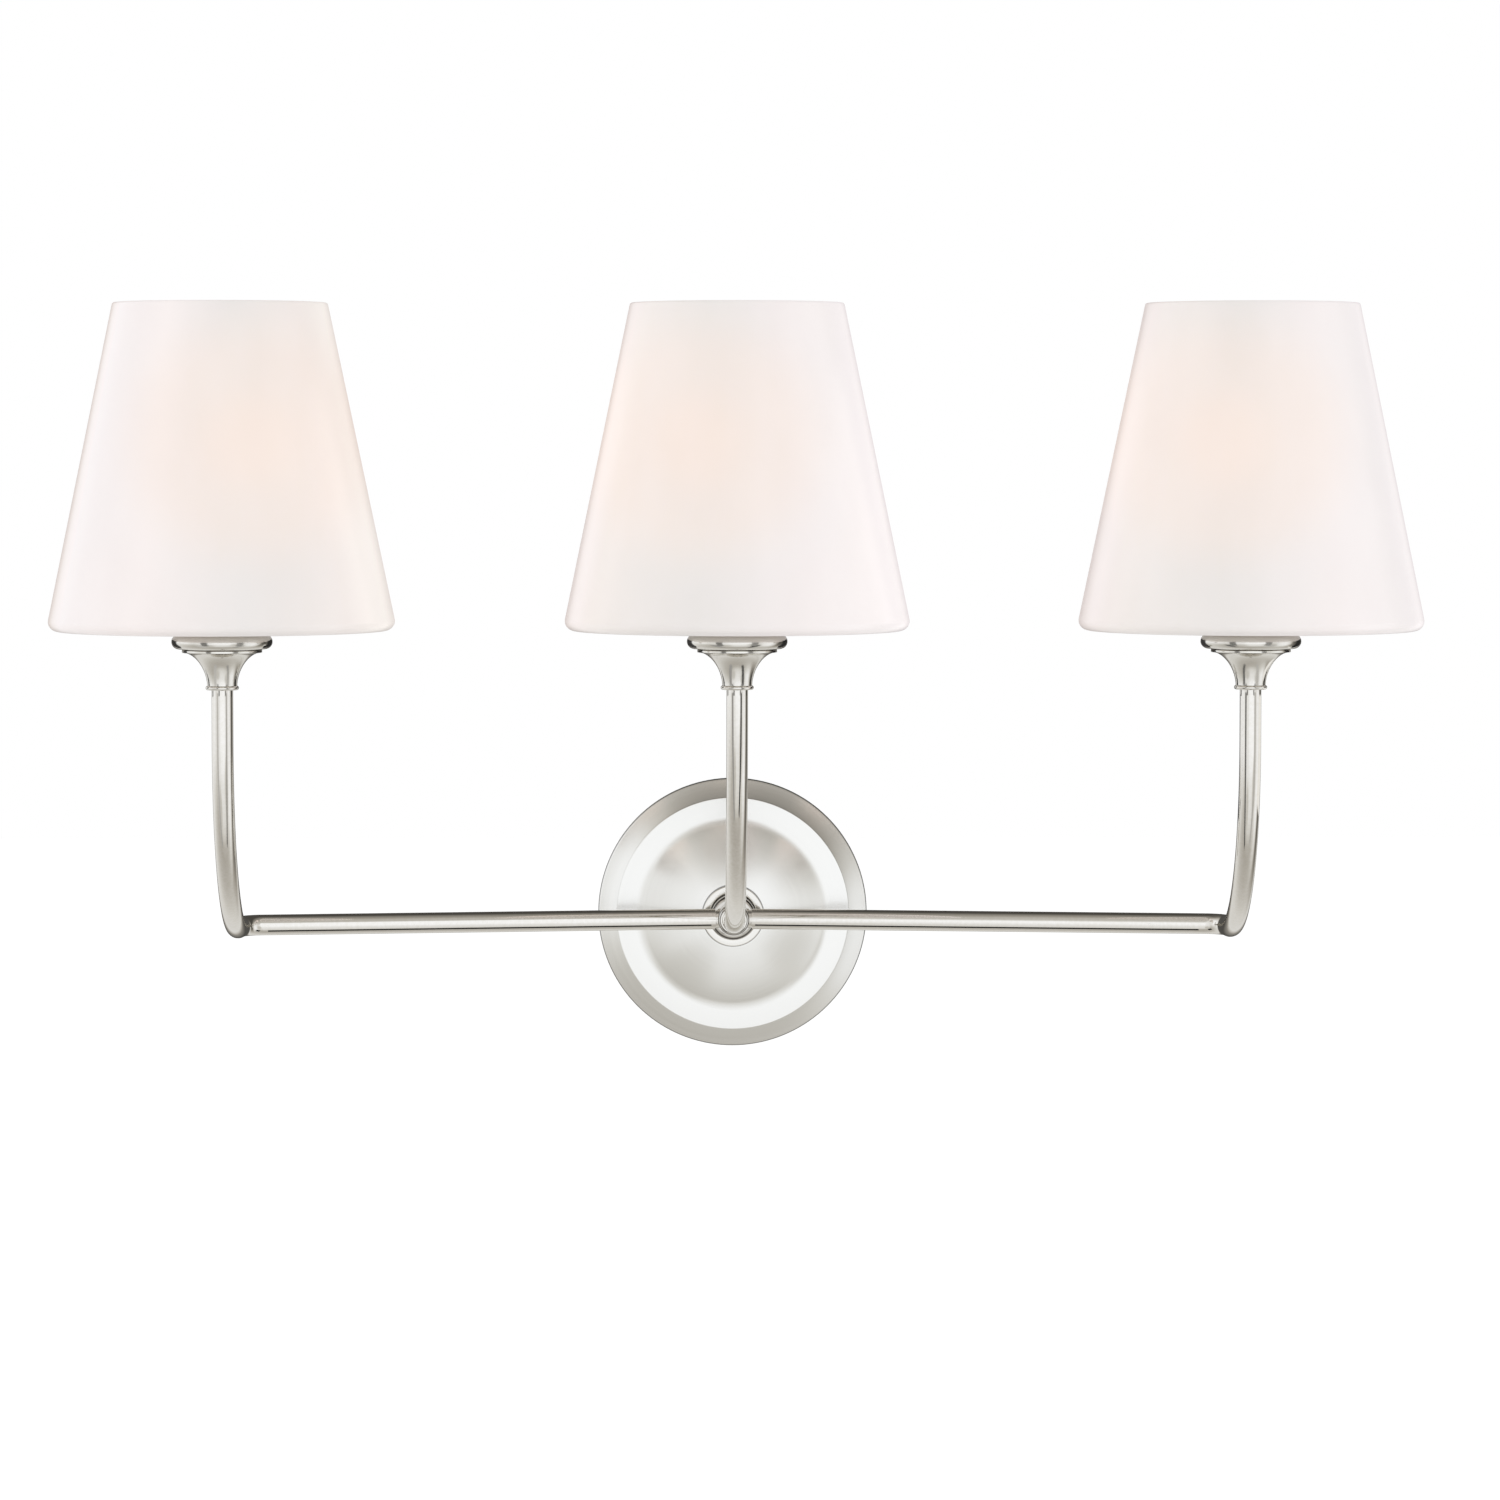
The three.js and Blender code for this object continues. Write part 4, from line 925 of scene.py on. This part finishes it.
def smooth_lead(label, finish):
    """A merged copy of the CAD's lead, subdivided until it is round."""
    node = f"lead_{label}"
    bm = bmesh.new()
    bm.from_mesh(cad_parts[node].data)
    piece = finished(f"wire_lead_{label}", node, bm, finish, "lead_sleeve", smooth=80)
    rounder = piece.modifiers.new("rounder", "SUBSURF")
    rounder.levels = rounder.render_levels = 2


# ---- Stage ----

FLOOR_DROP = 0.5
FLOOR_WIDTH = 16
FLOOR_GLOW_SHARE = 0.6
FLOOR_GLOW = 1.45
PLAIN_LIGHT = 0.5
LAMP_AIM = Vector((0, 0, 0.1))
LAMP_WIDTH = 1.6
# Each lamp with its place and its watts.
SOFT_LAMPS = (("key", (-2.1, -1.4, 1.2), 9.1), ("fill", (2.1, -1.4, 0.8), 10.2),
              ("back", (0.3, 1.8, 1.6), 8.5))


def sheet(name, matrix, made):
    """A flat sheet of the stage: a square of one metre, stretched and placed by a matrix."""
    bm = bmesh.new()
    bmesh.ops.create_grid(bm, x_segments=1, y_segments=1, size=0.5, matrix=matrix)
    flat = placed(name, bm)
    flat.data.materials.append(made)
    return flat


def floor():
    """A pale floor below, matt, with a glow for the eye alone. From underneath it can be seen through."""
    made = bpy.data.materials.new("pale_floor")
    tree = emptied_tree(made)
    seen = add(tree, "LightPath").outputs["Is Camera Ray"]
    share = add(tree, "Math", "MULTIPLY", i0=seen, i1=FLOOR_GLOW_SHARE)
    paint = add(tree, "BsdfDiffuse", Color=linear("f4f3f1"))
    white = add(tree, "Emission", Strength=FLOOR_GLOW)
    both = add(tree, "MixShader", i0=share, i1=paint, i2=white)
    under = add(tree, "NewGeometry").outputs["Backfacing"]
    one_sided = add(tree, "MixShader", i0=under, i1=both, i2=add(tree, "BsdfTransparent"))
    add(tree, "OutputMaterial", Surface=one_sided)
    below = Matrix.Translation((0, 0, cad_bounds[0].z - FLOOR_DROP))
    flat = sheet("floor", below @ Matrix.Diagonal((FLOOR_WIDTH, FLOOR_WIDTH, 1, 1)), made)
    flat.visible_glossy = False


def soft_lamps():
    for name, place, watts in SOFT_LAMPS:
        data = bpy.data.lights.new(name, "AREA")
        data.shape = "DISK"
        data.size = LAMP_WIDTH
        data.energy = watts
        pointed(name, data, Vector(place), LAMP_AIM).visible_glossy = False


def card(name, place, facing, along, size, levels, seen_within):
    """A small card that only metal close to it sees. Its level changes from its low end to its high end."""
    made = bpy.data.materials.new(name)
    tree = emptied_tree(made)
    here = add(tree, "TexCoord").outputs["Object"]
    height = add(tree, "SeparateXYZ", i0=here).outputs["Z"]
    level = add(tree, "MapRange", i0=height, i1=place.z - size[0] / 2, i2=place.z + size[0] / 2,
                i3=levels[0], i4=levels[1])
    glow = add(tree, "Emission", Strength=level)
    ray = add(tree, "LightPath").outputs["Ray Length"]
    far = add(tree, "Math", "GREATER_THAN", i0=ray, i1=seen_within)
    shown = add(tree, "MixShader", i0=far, i1=glow, i2=add(tree, "BsdfTransparent"))
    add(tree, "OutputMaterial", Surface=shown)
    normal = facing.normalized()
    across = along.cross(normal).normalized()
    turn = Matrix((along, across, normal)).transposed().to_4x4()
    flat = sheet(name, Matrix.Translation(place) @ turn @ Matrix.Diagonal((*size, 1, 1)), made)
    for kind in ("camera", "diffuse", "transmission", "shadow", "volume_scatter"):
        setattr(flat, f"visible_{kind}", False)


def streak(name, place, along, radius, share, reach, size, levels, seen_within):
    """A card that a round bar of some radius shows as a streak, a share of the radius off its middle."""
    eye = CAMERA_PLACE - place
    eye = (eye - along * eye.dot(along)).normalized()
    turn = math.asin(share)
    normal = Matrix.Rotation(turn, 3, along) @ eye
    towards = Matrix.Rotation(2 * turn, 3, along) @ eye
    card(name, place + normal * radius + towards * reach, -towards, along, size, levels, seen_within)


# Streaks on each rising tube: name, share of the radius to the right of the middle, the card's width, its
# levels low down and high up, its low end and its reach, and how far away it still shows.
LONG_CARD = (mm(-120), mm(60), mm(130))
RISER_STREAKS = {
    "left": (("black", 0.37, mm(17), (0, 0.6), *LONG_CARD),
             ("grey", -0.45, mm(21), (0.4, 0.7), *LONG_CARD)),
    "middle": (("black", 0.37, mm(19), (0, 0.12), *LONG_CARD),
               ("grey", -0.43, mm(22), (0.42, 0.42), *LONG_CARD)),
    "right": (("black", -0.43, mm(18), (0.1, 0.2), *LONG_CARD),
              ("grey", 0.43, mm(20), (0.5, 0.65), *LONG_CARD),
              ("edge", -0.97, mm(18), (0.05, 0.05), mm(50), mm(35), mm(40)),
              ("box", 0.88, mm(33), (1.1, 1.1), mm(50), mm(35), mm(42))),
}
RISER_HIGH = mm(109)
# Streaks on each disc, which its cup shows too: name, share, width, level, how far away it shows.
DISC_STREAKS = (("end_left", -0.95, mm(17), 0.05, mm(37)), ("soft_left", -0.36, mm(10), 0.25, mm(55)),
                ("soft_right", 0.36, mm(10), 0.35, mm(55)), ("end_right", 0.95, mm(17), 0.03, mm(37)))
DISC_REACH = mm(25)
DISC_CARD_LOW = mm(108.5)
DISC_CARD_HIGH = mm(165)
# The dark streak low on each side arm.
ARM_SHARE = 0.6
ARM_REACH = mm(14)
ARM_CARD_ENDS = (mm(9), mm(216))  # out from the hub's centre
ARM_CARD_WIDTH = mm(5.4)
ARM_LEVEL = 0.03
ARM_SEEN_WITHIN = mm(19)


def cards():
    """Cards round each rising tube and each disc, and one below each side arm."""
    for label, streaks in RISER_STREAKS.items():
        for name, share, width, levels, bottom, reach, seen_within in streaks:
            place = lamp_axis(label) + UP * (bottom + RISER_HIGH) / 2
            streak(f"{name}_card_{label}", place, UP, TUBE_R, share, reach, (RISER_HIGH - bottom, width),
                   levels, seen_within)
        disc_r = lamp_part("seat_disc", label)[1]
        place = lamp_axis(label) + UP * (DISC_CARD_LOW + DISC_CARD_HIGH) / 2
        for name, share, width, level, seen_within in DISC_STREAKS:
            streak(f"{name}_card_{label}", place, UP, disc_r, share, DISC_REACH,
                   (DISC_CARD_HIGH - DISC_CARD_LOW, width), (level, level), seen_within)
    near, far = ARM_CARD_ENDS
    for side in (-1, 1):
        heading = swept_heading(side)
        place = hub_place() + heading * (near + far) / 2
        streak(f"arm_card_{side}", place, heading * side, TUBE_R, ARM_SHARE, ARM_REACH,
               (far - near, ARM_CARD_WIDTH), (ARM_LEVEL, ARM_LEVEL), ARM_SEEN_WITHIN)


# What the metal reflects, as level against the angle from straight in front, in four fans.
STUDIO = {
    "up": [(0, 1.31), (12, 1.31), (17, 1.1), (24, 0.78), (32, 0.64), (52, 0.6), (64, 0.45), (79, 0.33),
           (95, 0.21), (108, 0.08), (180, 0.08)],
    "down": [(0, 1.3), (17, 1.22), (27, 1.08), (45, 1.0), (55, 0.86), (64, 0.58), (73, 0.52), (93, 0.6),
             (105, 0.7), (124, 0.86), (146, 0.86), (154, 0.3), (165, 0.08), (180, 0.08)],
    "left": [(0, 1.31), (16, 1.28), (24, 1.12), (56, 1.0), (71, 1.05), (84, 1.25), (140, 1.2), (150, 0.9),
             (158, 0.15), (180, 0.08)],
    "right": [(0, 1.31), (26, 1.28), (36, 1.12), (45, 0.98), (53, 0.95), (70, 1.15), (86, 1.22), (97, 0.95),
              (106, 0.3), (112, 0.12), (130, 0.12), (140, 0.6), (150, 0.9), (158, 0.15), (180, 0.08)],
}
# Soft round patches: azimuth to the right and elevation, inner and outer half-angle, level.
STUDIO_PATCHES = [(19, 12, 6, 19, 1.3), (42, -25, 6, 22, 0.74), (-32, -38, 5, 18, 0.72)]
STUDIO_WHITE = 1.5  # the level at the top of every ramp
STUDIO_LEAN = math.radians(-14)  # the boxes stand turned this far about the line of sight
# The side fans' share, by how far a direction lies to the side rather than above or below. The sides
# take up more room in front than behind.
SIDE_SHARE = [(0.0, 0.0), (0.3, 0.05), (0.5, 0.15), (0.75, 0.5), (0.93, 0.95), (1.0, 1.0)]
SIDE_WIDENING = 0.35
# The studio's dark parts are warm and its bright parts cool, with more blue than white has.
STUDIO_TONES = [(0.0, "000000"), (0.3, "93908b"), (0.55, "bdbdbc"), (1.0, "f3f7ff")]
TONE_LIGHT = 1.08


def studio_world():
    """White to the eye. The metal sees four fans of light and dark, above, below, left and right, which
    blend into each other, and soft round patches over them."""
    world = bpy.data.worlds.new("studio")
    bpy.context.scene.world = world
    tree = emptied_tree(world)
    ray = add(tree, "TexCoord").outputs["Generated"]
    leant = add(tree, "Mapping", Vector=ray, Rotation=(0, STUDIO_LEAN, 0))
    part = add(tree, "SeparateXYZ", i0=leant).outputs
    ahead = add(tree, "Math", "MULTIPLY", i0=part["Y"], i1=-1)
    angle = add(tree, "Math", "ARCCOSINE", i0=ahead)
    away = add(tree, "Math", "DIVIDE", i0=angle, i1=math.pi)
    fans = {}
    for side, levels in STUDIO.items():
        stops = [(degrees / 180, level / STUDIO_WHITE) for degrees, level in levels]
        fans[side] = add(tree, "ValToRGB", stops=stops, i0=away)
    across = add(tree, "Math", "MULTIPLY", i0=part["X"], i1=part["X"])
    upwards = add(tree, "Math", "MULTIPLY", i0=part["Z"], i1=part["Z"])
    both = add(tree, "Math", "ADD", i0=across, i1=upwards)
    sideways = add(tree, "Math", "DIVIDE", i0=across, i1=both)
    in_front = add(tree, "Math", "SUBTRACT", i0=0.5, i1=away)
    widened = add(tree, "Math", "MULTIPLY_ADD", i0=in_front, i1=SIDE_WIDENING, i2=sideways)
    share = add(tree, "ValToRGB", stops=SIDE_SHARE, i0=widened)
    above = add(tree, "Math", "GREATER_THAN", i0=part["Z"], i1=0)
    on_right = add(tree, "Math", "GREATER_THAN", i0=part["X"], i1=0)
    upright = add(tree, "Mix", OF_COLOURS, i0=above, i6=fans["down"], i7=fans["up"])
    level = add(tree, "Mix", OF_COLOURS, i0=on_right, i6=fans["left"], i7=fans["right"])
    level = add(tree, "Mix", OF_COLOURS, i0=share, i6=upright, i7=level)
    for *angles, bright in STUDIO_PATCHES:
        azimuth, elevation, inner, outer = (math.radians(a) for a in angles)
        level_share = math.cos(elevation)
        towards = (math.sin(azimuth) * level_share, -math.cos(azimuth) * level_share, math.sin(elevation))
        near = add(tree, "VectorMath", "DOT_PRODUCT", i0=ray, i1=towards)
        patch = add(tree, "ValToRGB", stops=[(math.cos(outer), 0.0), (math.cos(inner), 1.0)], i0=near)
        patch.color_ramp.interpolation = "EASE"
        grey = [bright / STUDIO_WHITE] * 3 + [1]
        level = add(tree, "Mix", OF_COLOURS, i0=patch, i6=level, i7=grey)
    tone = add(tree, "ValToRGB", stops=STUDIO_TONES, i0=level)
    studio = add(tree, "Background", Color=tone, Strength=STUDIO_WHITE * TONE_LIGHT)
    plain = add(tree, "Background", Color=linear("ffffff"), Strength=PLAIN_LIGHT)
    white = add(tree, "Background", Color=linear("ffffff"), Strength=1.0)
    path = add(tree, "LightPath").outputs
    lit = add(tree, "MixShader", i0=path["Is Glossy Ray"], i1=plain, i2=studio)
    seen = add(tree, "Math", "MAXIMUM", i0=path["Is Camera Ray"], i1=path["Is Transmission Ray"])
    shown = add(tree, "MixShader", i0=seen, i1=lit, i2=white)
    add(tree, "OutputWorld", Surface=shown)


# ---- Assembly ----

camera()
floor()
cards()
studio_world()
soft_lamps()
bpy.context.scene.view_settings.view_transform = "Standard"

satin = turned_nickel("turned_satin_nickel", ORIGIN, "Y", *SATIN_LOOK)
# The post's satin nickel is painted darker, as painted shade between the canopy ring and the hub, with a ring
# of painted shade near its edge.
post_painted_shade_finish = turned_nickel("turned_satin_nickel_post_painted_shade", ORIGIN, "Y", *POST_PAINTED_SHADE_LOOK, joints=POST_PAINTED_SHADE)
# The hub's satin nickel, with rings of painted shade on its front.
hub_finish_with_painted_shade = turned_nickel("cast_satin_nickel_hub", ORIGIN, "Y", *HUB_LOOK, joints=HUB_PAINTED_SHADE)
backplate()
plain_ring("canopy_ring_nut", "canopy_ring", ORIGIN, HOLE_R, RING_ROUND, 3, satin)
post(post_painted_shade_finish)
hub(hub_finish_with_painted_shade)
plain_ring("arm_collar", "middle_collar", hub_place(), SOCKET_R, COLLAR_ROUND, 5, satin)
middle_arm()
for side_label in ("left", "right"):
    side_arm(side_label)

frosted = frosted_glass()
shade_inside = opal_inside()
# Ivory, with the dull sheen of a moulding.
phenolic = mottled("moulded_phenolic", "e4dfd2", "ece8dd", 0.35, 0.5, mm(1.2))
# A bright grey that is less even than turned nickel.
cap_nickel = mottled("pressed_nickel_cap", "bfbfbf", "d2d2d0", 0.18, 0.3, mm(0.8), metallic=1.0)
# Nearly black, brown in the light, and glossy.
insulator = mottled("black_glass_insulator", "15110f", "241d1a", 0.12, 0.25, mm(1))
# Dull silver with small lumps.
solder = mottled("tin_solder", "a9aaac", "c4c5c6", 0.3, 0.45, mm(0.5), metallic=1.0, bump=mm(0.05))
# Deep yellow with a soft shine.
brass = mottled("turned_brass", "b08d4c", "c8a864", 0.25, 0.4, mm(0.6), metallic=1.0)
# Cool grey, a little cloudy.
zinc = mottled("zinc_plate", "9fa2a6", "bfc1c2", 0.3, 0.5, mm(2), metallic=1.0)
# The dark, slightly metallic green that marks a ground screw.
green = mottled("green_dyed_zinc", "2f6f40", "458a55", 0.3, 0.45, mm(0.6), metallic=0.7)
# Off-white and matt, with a fine roughness.
sleeve = mottled("glass_fibre_sleeve", "d6d2c8", "e6e3db", 0.55, 0.75, mm(0.3), bump=mm(0.03))

for lamp_label in LAMPS:
    turned_finish = turned_nickel(f"turned_satin_nickel_{lamp_label}", lamp_axis(lamp_label), "Z",
                                  *SATIN_LOOK)
    cup(lamp_label, turned_finish)
    seat_disc(lamp_label, turned_finish)
    shade_nut(lamp_label, turned_finish)
    shade(lamp_label, shade_inside)
    lampholder(lamp_label, phenolic)
    bulb_glass(lamp_label, frosted)
    bulb_cap(lamp_label, cap_nickel, insulator, solder)
    smooth_lead(lamp_label, sleeve)
    for part_name in ("lamp_nipple", "screw_shell", "contact"):
        part_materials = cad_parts[f"{part_name}_{lamp_label}"].data.materials
        part_materials.clear()
        part_materials.append(brass)

softened("crossbar_strap", "crossbar", zinc, "zinc_plated_steel", mm(0.3))
softened("hex_locknut", "locknut", zinc, "zinc_plated_steel", mm(0.35))
softened("grounding_screw", "ground_screw", green, "green_screw", mm(0.3))
softened("threaded_nipple", "nipple", brass, "brass", mm(0.2))
softened("splice_connector", "splice_cap", phenolic, "phenolic", mm(0.3))
